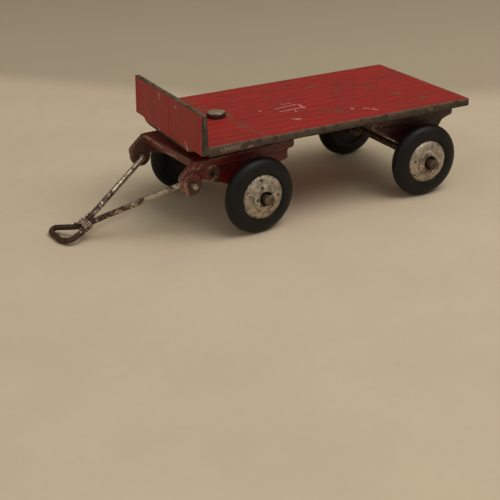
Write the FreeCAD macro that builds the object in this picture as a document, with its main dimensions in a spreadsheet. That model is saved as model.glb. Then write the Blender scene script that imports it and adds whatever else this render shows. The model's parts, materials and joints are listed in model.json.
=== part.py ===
"""Toy flat trailer with a headboard, a swivelling front bogie and a bent-wire drawbar.

A parametric FreeCAD document in millimetres, +Z up, +X towards the drawbar, +Y to the left.
The driving sizes are in the spreadsheet; every sub-part is written to parts/NODE.step.
"""

import FreeCAD, Part
import math
import os

import Sketcher

os.makedirs("parts", exist_ok=True)
doc = FreeCAD.newDocument("flat_trailer")

DIMENSIONS = [
    ("pivot_x", 9.64, "steering pivot, from the origin under the middle of the whole trailer"),
    ("steer_angle", 6.0, "how far the bogie stands turned to the left, degrees"),
    ("wheelbase", 52.75, "front axle to rear axle"),
    ("axle_height", 10.0, "both axles above the ground"),
    ("bed_length", 80.0, "flat bed, headboard included"),
    ("bed_width", 44.0, "flat bed across"),
    ("bed_top", 25.8, "loading surface above the ground"),
    ("bed_thickness", 2.0, "cast plate"),
    ("bed_corner", 0.8, "corner radius of the plate"),
    ("bed_overhang", 14.15, "front of the bed ahead of the pivot"),
    ("plank_pitch", 3.66, "one moulded plank"),
    ("plank_groove", 0.4, "width of the groove between planks"),
    ("plank_depth", 0.25, "depth of that groove"),
    ("board_rise", 8.3, "headboard above the bed"),
    ("board_foot", 1.95, "headboard thickness at the bed"),
    ("board_lean", 0.5, "how far the top of the headboard leans back"),
    ("board_tip", 1.4, "headboard thickness at the top"),
    ("stile_line", 19.9, "outer grooves of the headboard from the middle"),
    ("panel_line", 2.0, "middle groove of the headboard, off centre"),
    ("apron_drop", 1.25, "apron below the plate"),
    ("apron_shoulder", 0.85, "drop at the outer end of the apron"),
    ("apron_half", 16.0, "half width of the apron at the plate"),
    ("apron_flat", 12.5, "half width of its lowest edge"),
    ("web_thickness", 1.8, "top web of the rear frame"),
    ("peg_radius", 1.5, "bed peg that holds the rear frame"),
    ("peg_spread", 7.5, "pegs from the middle"),
    ("peg_head", 2.3, "radius of the peened peg end"),
    ("frame_half", 15.6, "rear frame half width"),
    ("frame_wall", 1.8, "side plates and cross walls"),
    ("frame_front", 14.1, "front wall ahead of the rear axle"),
    ("frame_back", 12.4, "back wall behind the rear axle"),
    ("frame_bottom", 18.3, "lower edge of the cross walls"),
    ("bogie_half", 14.6, "bogie half width over the side plates"),
    ("bogie_wall", 1.8, "bogie side plates"),
    ("bogie_top", 20.6, "top of the bogie plate"),
    ("bogie_plate", 1.6, "thickness of that plate"),
    ("bogie_nose", 15.2, "front edge of the plate ahead of the pivot"),
    ("bogie_tail", 14.8, "back end of the top leaf"),
    ("leaf_height", 2.3, "top leaf of the moulded spring"),
    ("leaf_relief", 0.35, "how far the top leaf stands out"),
    ("lip_height", 2.1, "front edge of the bogie plate"),
    ("turntable_radius", 6.5, "raised disc that carries the bed"),
    ("slide_gap", 0.05, "gap between faces that turn on each other"),
    ("hanger_radius", 2.7, "round axle hanger"),
    ("hanger_face", 15.9, "outer face of the hanger from the middle"),
    ("eye_x", 16.2, "drawbar eyes ahead of the pivot"),
    ("eye_z", 14.8, "drawbar eyes above the ground"),
    ("eye_radius", 2.8, "rounded end of each arm"),
    ("spring_eye_x", 10.4, "moulded spring eye ahead of the pivot"),
    ("spring_eye_z", 16.8, "moulded spring eye above the ground"),
    ("spring_eye_radius", 2.2, "moulded spring eye"),
    ("spring_eye_hole", 0.75, "its through hole"),
    ("rivet_radius", 1.2, "pivot rivet shank"),
    ("rivet_head", 2.6, "pivot rivet head"),
    ("rivet_rise", 1.3, "head above the bed"),
    ("rivet_tail", 2.0, "peened tail"),
    ("washer_radius", 3.1, "washer on the tail"),
    ("washer_thickness", 0.5, "the same washer"),
    ("running_gap", 0.07, "radial clearance where one piece turns on another"),
    ("fixed_gap", 0.02, "radial clearance where two pieces are fixed"),
    ("axle_radius", 1.05, "axle rod"),
    ("axle_half", 25.3, "half the length of the axle"),
    ("axle_head", 1.45, "peened axle end"),
    ("track_half", 19.8, "middle of each tyre from the centre line"),
    ("tyre_radius", 10.0, "outside of the tyre"),
    ("tyre_half", 2.2, "half width of the tyre"),
    ("wall_radius", 7.07, "where the side of the tyre starts to curve in"),
    ("shoulder_radius", 9.14, "shoulder between side and tread"),
    ("shoulder_half", 1.56, "half width at the shoulder"),
    ("tyre_seat", 6.0, "inside of the tyre"),
    ("tyre_side", 2.05, "flat of the tyre beside the hub, from its middle"),
    ("rib_height", 0.7, "hub rib inside the tyre"),
    ("rib_half", 0.8, "half width of that rib"),
    ("wire_radius", 0.75, "drawbar wire"),
    ("wire_bend", 1.3, "inside bends of the wire, on its centre line"),
    ("hook_end", 16.2, "wire end from the centre line"),
    ("hook_leg", 11.8, "leg of the wire at the eyes from the centre line"),
    ("bar_pitch", 25.95, "slope of the drawbar, degrees"),
    ("neck_start", 22.9, "start of the neck, measured along the bar"),
    ("neck_end", 25.6, "end of the neck"),
    ("neck_side", -3.05, "middle of the neck, to the left of the bar's own line"),
    ("strand_gap", 0.9, "gap between the two strands of the neck"),
    ("binding_radius", 0.3, "binding wire"),
    ("binding_pitch", 0.5, "distance between its turns"),
]

sheet = doc.addObject("Spreadsheet::Sheet", "Sizes")
for row, (alias, number, meaning) in enumerate(DIMENSIONS, start=1):
    sheet.set(f"A{row}", meaning)
    sheet.set(f"B{row}", str(number))
    sheet.setAlias(f"B{row}", alias)
doc.recompute()


class Size:
    """A number from the sheet together with the formula that follows it."""

    def __init__(self, number, formula):
        self.number = float(number)
        self.formula = formula

    def __add__(self, other):
        other = as_size(other)
        return Size(self.number + other.number, f"({self.formula} + {other.formula})")

    def __sub__(self, other):
        other = as_size(other)
        return Size(self.number - other.number, f"({self.formula} - {other.formula})")

    def __mul__(self, other):
        other = as_size(other)
        return Size(self.number * other.number, f"({self.formula} * {other.formula})")

    def __truediv__(self, other):
        other = as_size(other)
        return Size(self.number / other.number, f"({self.formula} / {other.formula})")

    def __neg__(self):
        return Size(-self.number, f"(0 - {self.formula})")


def as_size(item):
    return item if isinstance(item, Size) else Size(item, repr(float(item)))


def dim(alias):
    return Size(sheet.get(alias), f"Sizes.{alias}")


def drive(item, prop, size):
    """Set a length or angle and bind it to its cells."""
    size = as_size(size)
    setattr(item, prop, size.number)
    item.setExpression(prop, size.formula)


# ---------------------------------------------------------------- modelling helpers


def new_body(name):
    body = doc.addObject("PartDesign::Body", name)
    body.Label = name
    return body


def new_sketch(body, name, role, offset=None):
    sketch = body.newObject("Sketcher::SketchObject", name)
    plane = next(item for item in body.Origin.OriginFeatures if item.Role == role)
    sketch.AttachmentSupport = [(plane, "")]
    sketch.MapMode = "FlatFace"
    if offset is not None:
        offset = as_size(offset)
        sketch.AttachmentOffset = FreeCAD.Placement(
            FreeCAD.Vector(0, 0, offset.number), FreeCAD.Rotation()
        )
        sketch.setExpression(".AttachmentOffset.Base.z", offset.formula)
    return sketch


def pin_point(sketch, geometry, vertex, place):
    """Hold one point of a sketch at a place given by two sizes."""
    for kind, size in zip(("DistanceX", "DistanceY"), place):
        size = as_size(size)
        index = sketch.addConstraint(
            Sketcher.Constraint(kind, -1, 1, geometry, vertex, size.number)
        )
        sketch.setExpression(f"Constraints[{index}]", size.formula)


def add_outline(sketch, corners):
    """A closed chain of straight lines through the corners."""
    corners = [tuple(as_size(value) for value in corner) for corner in corners]
    points = [FreeCAD.Vector(x.number, y.number, 0) for x, y in corners]
    first = sketch.GeometryCount
    for start, end in zip(points, points[1:] + points[:1]):
        sketch.addGeometry(Part.LineSegment(start, end), False)
    for step, corner in enumerate(corners):
        following = (step + 1) % len(corners)
        sketch.addConstraint(
            Sketcher.Constraint("Coincident", first + step, 2, first + following, 1)
        )
        pin_point(sketch, first + step, 1, corner)


def add_circle(sketch, centre, radius):
    centre = tuple(as_size(value) for value in centre)
    radius = as_size(radius)
    middle = FreeCAD.Vector(centre[0].number, centre[1].number, 0)
    number = sketch.addGeometry(Part.Circle(middle, FreeCAD.Vector(0, 0, 1), radius.number), False)
    pin_point(sketch, number, 3, centre)
    index = sketch.addConstraint(Sketcher.Constraint("Radius", number, radius.number))
    sketch.setExpression(f"Constraints[{index}]", radius.formula)


def pad(body, name, sketch, length, midplane=False, backwards=False):
    feature = body.newObject("PartDesign::Pad", name)
    feature.Profile = sketch
    drive(feature, "Length", length)
    feature.Midplane = midplane
    feature.Reversed = backwards
    sketch.Visibility = False
    return feature


def pocket(body, name, sketch, length, midplane=False, backwards=False):
    """Cut along the sketch's normal, and stop if the cut removes nothing."""
    doc.recompute()
    before = body.Shape.Volume
    feature = body.newObject("PartDesign::Pocket", name)
    feature.Profile = sketch
    drive(feature, "Length", length)
    feature.Midplane = midplane
    feature.Reversed = backwards
    doc.recompute()
    if body.Shape.Volume > before - 1e-4:
        raise RuntimeError(f"{name} cut nothing")
    return feature


def revolve(body, name, sketch):
    feature = body.newObject("PartDesign::Revolution", name)
    feature.Profile = sketch
    feature.ReferenceAxis = (sketch, ["V_Axis"])
    feature.Angle = 360
    return feature


def edges_along(shape, axis, spots, reach=0.02):
    """Names of straight edges parallel to an axis (0, 1 or 2) that pass through the spots."""
    others = [index for index in range(3) if index != axis]
    found = []
    for number, edge in enumerate(shape.Edges, start=1):
        ends = [vertex.Point for vertex in edge.Vertexes]
        if len(ends) != 2 or not isinstance(edge.Curve, Part.Line):
            continue
        if any(abs(ends[0][index] - ends[1][index]) > 1e-6 for index in others):
            continue
        place = [ends[0][index] for index in others]
        if any(math.dist(place, [as_size(v).number for v in spot]) < reach for spot in spots):
            found.append(f"Edge{number}")
    return found


def round_edges(body, name, axis, spots, radius):
    doc.recompute()
    base = body.Tip
    names = edges_along(base.Shape, axis, spots)
    if not names:
        raise RuntimeError(f"{name} found no edge")
    feature = body.newObject("PartDesign::Fillet", name)
    feature.Base = (base, names)
    drive(feature, "Radius", radius)
    doc.recompute()
    return feature


def spin_outline(body, name, corners, role="XZ_Plane"):
    sketch = new_sketch(body, name + "_profile", role)
    add_outline(sketch, corners)
    return revolve(body, name, sketch)


# ---------------------------------------------------------------- flat bed

bed_front = dim("bed_overhang")
bed_back = bed_front - dim("bed_length")
bed_bottom = dim("bed_top") - dim("bed_thickness")
board_back = bed_front - dim("board_foot")
rear_axle = -dim("wheelbase")


def make_bed():
    """Cast plate with moulded planks, headboard, apron and two pegs, measured from the pivot."""
    body = new_body("flat_bed")
    half = dim("bed_width") / 2

    plate = new_sketch(body, "plate_outline", "XY_Plane", bed_bottom)
    add_outline(plate, [(bed_back, -half), (bed_front, -half), (bed_front, half), (bed_back, half)])
    pad(body, "plate", plate, dim("bed_thickness"))
    back_corners = [(bed_back, -half), (bed_back, half)]
    round_edges(body, "plate_corners", 2, back_corners, dim("bed_corner"))

    board = new_sketch(body, "headboard_outline", "XZ_Plane")
    top = dim("bed_top") + dim("board_rise")
    top_front = bed_front - dim("board_lean")
    corners = [
        (bed_front, bed_bottom),
        (top_front, top),
        (top_front - dim("board_tip"), top),
        (board_back, dim("bed_top")),
        (board_back, bed_bottom),
    ]
    add_outline(board, corners)
    pad(body, "headboard", board, dim("bed_width"), midplane=True)

    apron = new_sketch(body, "apron_outline", "YZ_Plane", board_back)
    shoulder = bed_bottom - dim("apron_shoulder")
    low = bed_bottom - dim("apron_drop")
    side = dim("apron_half")
    flat = dim("apron_flat")
    step = side - 1.2
    corners = [
        (-side, bed_bottom + 0.5),
        (-side, bed_bottom),
        (-step, shoulder),
        (-flat, low),
        (flat, low),
        (step, shoulder),
        (side, bed_bottom),
        (side, bed_bottom + 0.5),
    ]
    add_outline(apron, corners)
    pad(body, "apron", apron, dim("board_foot"))

    for name, place in (("left_peg", dim("peg_spread")), ("right_peg", -dim("peg_spread"))):
        shank_bottom = bed_bottom - dim("web_thickness") - dim("fixed_gap")
        shank = new_sketch(body, name + "_outline", "XY_Plane", shank_bottom)
        add_circle(shank, (rear_axle, place), dim("peg_radius"))
        pad(body, name, shank, dim("web_thickness") + dim("fixed_gap") + 0.5)
        head = new_sketch(body, name + "_head_outline", "XY_Plane", shank_bottom)
        add_circle(head, (rear_axle, place), dim("peg_head"))
        pad(body, name + "_head", head, 0.7, backwards=True)

    rivet_hole = new_sketch(body, "rivet_hole_outline", "XY_Plane", dim("bed_top"))
    add_circle(rivet_hole, (0, 0), dim("rivet_radius") + dim("fixed_gap"))
    pocket(body, "rivet_hole", rivet_hole, dim("bed_thickness") + 1)

    cut_headboard_grooves(body, top_front, top)
    cut_plank_grooves(body)
    return body


def cut_headboard_grooves(body, top_front, top):
    """Upright grooves in the front of the headboard, following its lean."""
    groove = dim("plank_groove")
    side = dim("stile_line")
    for name, place in (
        ("left_stile", side),
        ("right_stile", -side),
        ("panel_joint", dim("panel_line")),
    ):
        outline = new_sketch(body, name + "_outline", "XZ_Plane", -place)
        depth = dim("plank_depth")
        corners = [
            (bed_front - depth, bed_bottom - 2),
            (bed_front + 1, bed_bottom - 2),
            (top_front + 1, top + 1),
            (top_front - depth, top + 1),
        ]
        add_outline(outline, corners)
        pocket(body, name, outline, groove, midplane=True)


def cut_plank_grooves(body):
    """Grooves between the planks, each cut from the back of the bed to the headboard."""
    groove = new_sketch(body, "plank_groove_outline", "YZ_Plane", bed_back - 1)
    wide = dim("plank_groove") / 2
    first = dim("plank_pitch") * -5
    top = dim("bed_top")
    corners = [
        (first - wide, top + 0.5),
        (first - wide, top),
        (first - wide / 2, top - dim("plank_depth")),
        (first + wide / 2, top - dim("plank_depth")),
        (first + wide, top),
        (first + wide, top + 0.5),
    ]
    add_outline(groove, corners)
    length = dim("bed_length") - dim("board_foot") + 1
    cut = pocket(body, "plank_groove_cut", groove, length, backwards=True)
    pattern = body.newObject("PartDesign::LinearPattern", "plank_grooves")
    pattern.Originals = [cut]
    pattern.Direction = (groove, ["H_Axis"])
    drive(pattern, "Length", dim("plank_pitch") * 10)
    pattern.Occurrences = 11
    body.Tip = pattern
    doc.recompute()


# ---------------------------------------------------------------- rear frame


def make_rear_frame():
    """Box with two spring-shaped side plates that carry the rear axle, measured from the axle."""
    body = new_body("rear_frame")
    front = dim("frame_front")
    back = -dim("frame_back")
    low = dim("frame_bottom")
    axle = dim("axle_height")
    half = dim("frame_half")

    side = new_sketch(body, "side_outline", "XZ_Plane")
    corners = [
        (back, bed_bottom),
        (back, low + 1.6),
        (back + 3.4, low + 0.6),
        (back + 4.5, low - 1.1),
        (-2.3, axle + 1),
        (2.3, axle + 1),
        (5.9, axle + 4.8),
        (front, low + 1.2),
        (front, bed_bottom),
    ]
    add_outline(side, corners)
    pad(body, "side_plates", side, half * 2, midplane=True)
    round_edges(body, "end_rounding", 1, [(back, low + 1.6), (front, low + 1.2)], 0.6)
    round_edges(body, "step_rounding", 1, [(back + 3.4, low + 0.6), (back + 4.5, low - 1.1)], 0.4)

    leaf = new_sketch(body, "leaf_outline", "XZ_Plane")
    corners = [
        (back + 0.6, low + 4.4),
        (back + 0.6, low + 2.6),
        (back + 3, low + 1.7),
        (front - 3, low + 1.7),
        (front - 0.6, low + 2.6),
        (front - 0.6, low + 4.4),
    ]
    add_outline(leaf, corners)
    pad(body, "leaf", leaf, (half + dim("leaf_relief")) * 2, midplane=True)

    hanger = new_sketch(body, "hanger_outline", "XZ_Plane")
    add_circle(hanger, (0, axle), dim("hanger_radius"))
    pad(body, "hanger", hanger, dim("hanger_face") * 2, midplane=True)

    hollow = new_sketch(body, "hollow_outline", "XZ_Plane")
    wall = dim("frame_wall")
    corners = [
        (back + wall, bed_bottom - dim("web_thickness")),
        (back + wall, low - 0.001),
        (back - 3, low - 0.001),
        (back - 3, axle - 6),
        (front + 3, axle - 6),
        (front + 3, low - 0.001),
        (front - wall, low - 0.001),
        (front - wall, bed_bottom - dim("web_thickness")),
    ]
    add_outline(hollow, corners)
    pocket(body, "hollow", hollow, (half - wall) * 2, midplane=True)

    bore = new_sketch(body, "axle_bore_outline", "XZ_Plane")
    add_circle(bore, (0, axle), dim("axle_radius") + dim("fixed_gap"))
    pocket(body, "axle_bore", bore, (half + 5) * 2, midplane=True)

    holes = new_sketch(body, "peg_hole_outline", "XY_Plane", bed_bottom + 1)
    for place in (dim("peg_spread"), -dim("peg_spread")):
        add_circle(holes, (0, place), dim("peg_radius") + dim("fixed_gap"))
    pocket(body, "peg_holes", holes, dim("web_thickness") + 2)
    return body


# ---------------------------------------------------------------- front bogie


def make_bogie():
    """Swivelling casting: plate, spring-shaped sides, axle hangers and drawbar arms."""
    body = new_body("front_bogie")
    nose = dim("bogie_nose")
    tail = -dim("bogie_tail")
    top = dim("bogie_top")
    leaf_low = top - dim("leaf_height")
    axle = dim("axle_height")
    half = dim("bogie_half")
    relief = dim("leaf_relief")
    eye_x = dim("eye_x")
    eye_z = dim("eye_z")

    side = new_sketch(body, "side_outline", "XZ_Plane")
    corners = [
        (tail, top),
        (tail, leaf_low),
        (tail + 1.9, leaf_low),
        (tail + 1.9, leaf_low - 2.8),
        (tail + 3.8, leaf_low - 3.1),
        (-2.3, axle + 1),
        (2.3, axle + 1),
        (nose - 8.7, eye_z - 1.9),
        (eye_x - 2.9, eye_z + 0.8),
        (eye_x - 2.7, eye_z),
        (eye_x + 2.75, eye_z),
        (eye_x + 3.4, eye_z + 2.4),
        (nose, top),
    ]
    add_outline(side, corners)
    pad(body, "side_plates", side, (half - relief) * 2, midplane=True)
    round_edges(body, "lower_leaf_end", 1, [(tail + 1.9, leaf_low - 2.8)], 0.8)
    round_edges(body, "arm_corner", 1, [(eye_x + 3.4, eye_z + 2.4)], 1.4)

    arm_end = new_sketch(body, "arm_end_outline", "XZ_Plane")
    add_circle(arm_end, (eye_x, eye_z), dim("eye_radius"))
    pad(body, "arm_ends", arm_end, half * 2, midplane=True)

    leaf = new_sketch(body, "top_leaf_outline", "XZ_Plane")
    corners = [(tail, top), (tail, leaf_low), (nose, leaf_low), (nose, top)]
    add_outline(leaf, corners)
    pad(body, "top_leaf", leaf, half * 2, midplane=True)
    round_edges(body, "top_leaf_end", 1, [(tail, leaf_low)], 1.0)

    hanger = new_sketch(body, "hanger_outline", "XZ_Plane")
    add_circle(hanger, (0, axle), dim("hanger_radius"))
    pad(body, "hanger", hanger, dim("hanger_face") * 2, midplane=True)

    spring_eye = new_sketch(body, "spring_eye_outline", "XZ_Plane")
    add_circle(
        spring_eye, (dim("spring_eye_x"), dim("spring_eye_z")), dim("spring_eye_radius")
    )
    pad(body, "spring_eye", spring_eye, (half + relief) * 2, midplane=True)

    turntable = new_sketch(body, "turntable_outline", "XY_Plane", top - 0.5)
    add_circle(turntable, (0, 0), dim("turntable_radius"))
    pad(body, "turntable", turntable, bed_bottom - dim("slide_gap") - top + 0.5)

    hollow = new_sketch(body, "hollow_outline", "XZ_Plane")
    plate_bottom = top - dim("bogie_plate")
    lip_bottom = top - dim("lip_height")
    wall = dim("bogie_wall")
    corners = [
        (tail - 3, axle - 6),
        (tail - 3, lip_bottom),
        (tail + wall, lip_bottom),
        (tail + wall, plate_bottom),
        (nose - wall, plate_bottom),
        (nose - wall, lip_bottom),
        (nose, lip_bottom),
        (nose, top + 5),
        (nose + 9, top + 5),
        (nose + 9, axle - 6),
    ]
    add_outline(hollow, corners)
    pocket(body, "hollow", hollow, (half - wall) * 2, midplane=True)

    bore = new_sketch(body, "bore_outline", "XZ_Plane")
    add_circle(bore, (0, axle), dim("axle_radius") + dim("fixed_gap"))
    add_circle(bore, (eye_x, eye_z), dim("wire_radius") + dim("running_gap"))
    add_circle(bore, (dim("spring_eye_x"), dim("spring_eye_z")), dim("spring_eye_hole"))
    pocket(body, "bores", bore, (half + 5) * 2, midplane=True)

    pivot_hole = new_sketch(body, "pivot_hole_outline", "XY_Plane", bed_bottom)
    add_circle(pivot_hole, (0, 0), dim("rivet_radius") + dim("running_gap"))
    pocket(body, "pivot_hole", pivot_hole, 6)
    return body


# ---------------------------------------------------------------- rivet, washer and axles


def make_rivet():
    body = new_body("pivot_rivet")
    shank = dim("rivet_radius")
    head = dim("rivet_head")
    top = dim("bed_top")
    tail_top = tail_face()
    tail = dim("rivet_tail")
    corners = [
        (0, top + dim("rivet_rise")),
        (head - 1.1, top + dim("rivet_rise")),
        (head - 0.2, top + dim("rivet_rise") - 0.45),
        (head, top + dim("rivet_rise") - 0.9),
        (head, top),
        (shank, top),
        (shank, tail_top),
        (tail, tail_top),
        (tail - 0.5, tail_top - 0.7),
        (0, tail_top - 0.8),
    ]
    spin_outline(body, "rivet", corners)
    return body


def tail_face():
    """Upper face of the rivet's tail, which the washer rests on."""
    plate_bottom = dim("bogie_top") - dim("bogie_plate")
    return plate_bottom - dim("slide_gap") * 2 - dim("washer_thickness")


def make_washer():
    body = new_body("pivot_washer")
    low = tail_face()
    high = low + dim("washer_thickness")
    inner = dim("rivet_radius") + dim("fixed_gap")
    outer = dim("washer_radius")
    corners = [(inner, low), (outer, low), (outer, high), (inner, high)]
    spin_outline(body, "washer", corners)
    return body


def make_axle(name):
    """Steel rod along Y with both ends peened over."""
    body = new_body(name)
    rod = dim("axle_radius")
    head = dim("axle_head")
    end = dim("axle_half")
    corners = [
        (0, -end),
        (head - 0.45, -end),
        (head, -end + 0.4),
        (head, -end + 0.8),
        (rod, -end + 1.1),
        (rod, end - 1.1),
        (head, end - 0.8),
        (head, end - 0.4),
        (head - 0.45, end),
        (0, end),
    ]
    spin_outline(body, "rod", corners, "XY_Plane")
    return body


# ---------------------------------------------------------------- wheels


def make_hub(name):
    """Domed cast hub, outer face towards +Y, measured from the middle of the tyre."""
    body = new_body(name)
    bore = dim("axle_radius") + dim("running_gap")
    seat = dim("tyre_seat") - dim("fixed_gap")
    rib = seat + dim("rib_height")
    rib_half = dim("rib_half")
    side = dim("tyre_side") - 0.2
    inner_end = dim("hanger_face") + 0.3 - dim("track_half")
    corners = [
        (bore, inner_end),
        (2.2, inner_end),
        (2.5, -1.2),
        (4.6, -0.9),
        (seat - 0.5, -side),
        (seat, -side),
        (seat, -rib_half),
        (rib, -rib_half),
        (rib, rib_half),
        (seat, rib_half),
        (seat, side - 0.2),
        (seat - 0.3, side),
        (seat - 1.1, side + 0.45),
        (seat - 1.8, side + 0.85),
        (3.8, side + 1.05),
        (3.6, side + 1.35),
        (2.6, side + 1.5),
        (1.85, side + 1.55),
        (1.75, side + 0.95),
        (bore, side + 0.95),
    ]
    spin_outline(body, "hub", corners, "XY_Plane")
    return body


def make_tyre(name):
    """Round-section rubber tyre, measured from its own middle."""
    body = new_body(name)
    seat = dim("tyre_seat")
    rib = seat + dim("rib_height")
    rib_half = dim("rib_half") + dim("fixed_gap")
    side = dim("tyre_side")
    half = dim("tyre_half")
    wall = dim("wall_radius")
    shoulder = dim("shoulder_radius")
    shoulder_half = dim("shoulder_half")

    profile = new_sketch(body, "tyre_profile", "XY_Plane")
    corners = [
        (wall, half),
        (seat + 0.5, side + 0.05),
        (seat, side - 0.1),
        (seat, rib_half),
        (rib, rib_half),
        (rib, -rib_half),
        (seat, -rib_half),
        (seat, -side + 0.1),
        (seat + 0.5, -side - 0.05),
        (wall, -half),
        (shoulder, -shoulder_half),
        (shoulder, shoulder_half),
    ]
    corners = [tuple(as_size(value) for value in corner) for corner in corners]
    points = [FreeCAD.Vector(x.number, y.number, 0) for x, y in corners]
    flats = points[:10]
    for start, end in zip(flats, flats[1:]):
        profile.addGeometry(Part.LineSegment(start, end), False)
    lower, tread, upper = 9, 10, 11
    crown = FreeCAD.Vector(dim("tyre_radius").number, 0, 0)
    swell = FreeCAD.Vector(0.042, 0.137, 0)
    upper_middle = (points[11] + points[0]) / 2 + swell
    lower_middle = FreeCAD.Vector(upper_middle.x, -upper_middle.y, 0)
    profile.addGeometry(Part.Arc(points[9], lower_middle, points[10]), False)
    profile.addGeometry(Part.Arc(points[10], crown, points[11]), False)
    profile.addGeometry(Part.Arc(points[11], upper_middle, points[0]), False)
    for number in range(8):
        profile.addConstraint(Sketcher.Constraint("Coincident", number, 2, number + 1, 1))
    for number, corner in enumerate(corners[:9]):
        pin_point(profile, number, 1, corner)
    pin_point(profile, 8, 2, corners[9])
    pin_point(profile, tread, 1, corners[10])
    pin_point(profile, tread, 2, corners[11])
    profile.addConstraint(Sketcher.Constraint("Coincident", lower, 1, 8, 2))
    profile.addConstraint(Sketcher.Constraint("Coincident", upper, 2, 0, 1))
    profile.addConstraint(Sketcher.Constraint("Tangent", lower, 2, tread, 1))
    profile.addConstraint(Sketcher.Constraint("Tangent", tread, 2, upper, 1))
    rise = dim("tyre_radius") - shoulder
    rounding = (shoulder_half * shoulder_half + rise * rise) / (rise * 2)
    middle = dim("tyre_radius") - rounding
    index = profile.addConstraint(
        Sketcher.Constraint("DistanceX", -1, 1, tread, 3, middle.number)
    )
    profile.setExpression(f"Constraints[{index}]", middle.formula)
    revolve(body, "tyre", profile)
    return body


# ---------------------------------------------------------------- drawbar and binding


def rounded_path(corners):
    """Edges of a path through (x, y, radius) corners, each corner rounded by a tangent arc."""
    points = [FreeCAD.Vector(x, y, 0) for x, y, _ in corners]
    edges = []
    start = points[0]
    for before, corner, after, (_, _, radius) in zip(points, points[1:], points[2:], corners[1:]):
        back = (before - corner).normalize()
        ahead = (after - corner).normalize()
        half_angle = back.getAngle(ahead) / 2
        reach = radius / math.tan(half_angle)
        bisector = (back + ahead).normalize()
        centre = corner + bisector * (radius / math.sin(half_angle))
        arc_start = corner + back * reach
        arc_end = corner + ahead * reach
        arc_middle = centre - bisector * radius
        edges.append(Part.LineSegment(start, arc_start))
        edges.append(Part.Arc(arc_start, arc_middle, arc_end))
        start = arc_end
    edges.append(Part.LineSegment(start, points[-1]))
    return edges


def drawbar_corners():
    """The bent wire in its own plane: x along the bar from the eyes, y to the left."""
    value = lambda alias: dim(alias).number
    bend = value("wire_bend")
    spread = value("wire_radius") + value("strand_gap") / 2
    near = value("neck_side") + spread
    far = value("neck_side") - spread
    start = value("neck_start")
    end = value("neck_end")
    return [
        (0, value("hook_end"), 0),
        (0, value("hook_leg"), bend),
        (start, near, 1.6),
        (end, near, bend),
        (26.9, -0.9, bend),
        (30.5, -1.0, 2.0),
        (32.0, -4.4, 2.6),
        (31.95, -10.4, 1.7),
        (30.9, -12.3, 0.95),
        (26.9, -5.1, 2.0),
        (end, far, 1.6),
        (start, far, 1.6),
        (0, -value("hook_leg"), bend),
        (0, -value("hook_end"), 0),
    ]


def make_drawbar():
    body = new_body("drawbar")
    path = new_sketch(body, "wire_path", "XY_Plane")
    path.addGeometry(rounded_path(drawbar_corners()), False)
    section = new_sketch(body, "wire_section", "XZ_Plane", -dim("hook_end"))
    add_circle(section, (0, 0), dim("wire_radius"))
    doc.recompute()
    wire = body.newObject("PartDesign::AdditivePipe", "wire")
    wire.Profile = section
    wire.Spine = path
    return body


def make_binding():
    """Turns of thin wire round the two strands of the neck."""
    body = new_body("binding_wire")
    strand = dim("wire_radius") + dim("strand_gap") / 2
    around = (dim("wire_radius") + dim("binding_radius") + dim("fixed_gap")).number
    middle = dim("neck_side").number
    first = dim("neck_start") + 0.6
    path = new_sketch(body, "turn_path", "YZ_Plane", first)
    left = middle + strand.number
    right = middle - strand.number
    corner = lambda y, z: FreeCAD.Vector(y, z, 0)
    turn = [
        Part.LineSegment(corner(left, around), corner(right, around)),
        Part.Arc(corner(right, around), corner(right - around, 0), corner(right, -around)),
        Part.LineSegment(corner(right, -around), corner(left, -around)),
        Part.Arc(corner(left, -around), corner(left + around, 0), corner(left, around)),
    ]
    path.addGeometry(turn, False)
    section = new_sketch(body, "turn_section", "XZ_Plane", -dim("neck_side"))
    add_circle(section, (first, around), dim("binding_radius"))
    doc.recompute()
    single = body.newObject("PartDesign::AdditivePipe", "turn")
    single.Profile = section
    single.Spine = path
    doc.recompute()
    pattern = body.newObject("PartDesign::LinearPattern", "turns")
    pattern.Originals = [single]
    pattern.Direction = (section, ["H_Axis"])
    drive(pattern, "Length", dim("binding_pitch") * 3)
    pattern.Occurrences = 4
    body.Tip = pattern
    return body


# ---------------------------------------------------------------- assembly

pivot = FreeCAD.Vector(dim("pivot_x").number, 0, 0)
steer = FreeCAD.Rotation(FreeCAD.Vector(0, 0, 1), dim("steer_angle").number)
half_turn = FreeCAD.Rotation(FreeCAD.Vector(0, 0, 1), 180)
straight = FreeCAD.Rotation()
bogie_place = FreeCAD.Placement(pivot, steer)
chassis_place = FreeCAD.Placement(pivot, straight)
rear_place = FreeCAD.Placement(pivot + FreeCAD.Vector(rear_axle.number, 0, 0), straight)
at_axle_height = FreeCAD.Placement(
    FreeCAD.Vector(0, 0, dim("axle_height").number), straight
)
bar_slope = FreeCAD.Rotation(FreeCAD.Vector(0, 1, 0), dim("bar_pitch").number)
at_eyes = FreeCAD.Placement(FreeCAD.Vector(dim("eye_x").number, 0, dim("eye_z").number), bar_slope)

sub_parts = {
    make_bed(): chassis_place,
    make_rivet(): chassis_place,
    make_washer(): chassis_place,
    make_rear_frame(): rear_place,
    make_bogie(): bogie_place,
    make_axle("front_axle"): bogie_place.multiply(at_axle_height),
    make_axle("rear_axle"): rear_place.multiply(at_axle_height),
    make_drawbar(): bogie_place.multiply(at_eyes),
    make_binding(): bogie_place.multiply(at_eyes),
}
for end, carrier in (("front", bogie_place), ("rear", rear_place)):
    for hand, sign, turn in (("left", 1, straight), ("right", -1, half_turn)):
        centre = FreeCAD.Vector(0, sign * dim("track_half").number, dim("axle_height").number)
        wheel_place = carrier.multiply(FreeCAD.Placement(centre, turn))
        sub_parts[make_hub(f"hub_{end}_{hand}")] = wheel_place
        sub_parts[make_tyre(f"tyre_{end}_{hand}")] = wheel_place

doc.recompute()
for body, place in sub_parts.items():
    body.Placement = place
doc.recompute()

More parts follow.
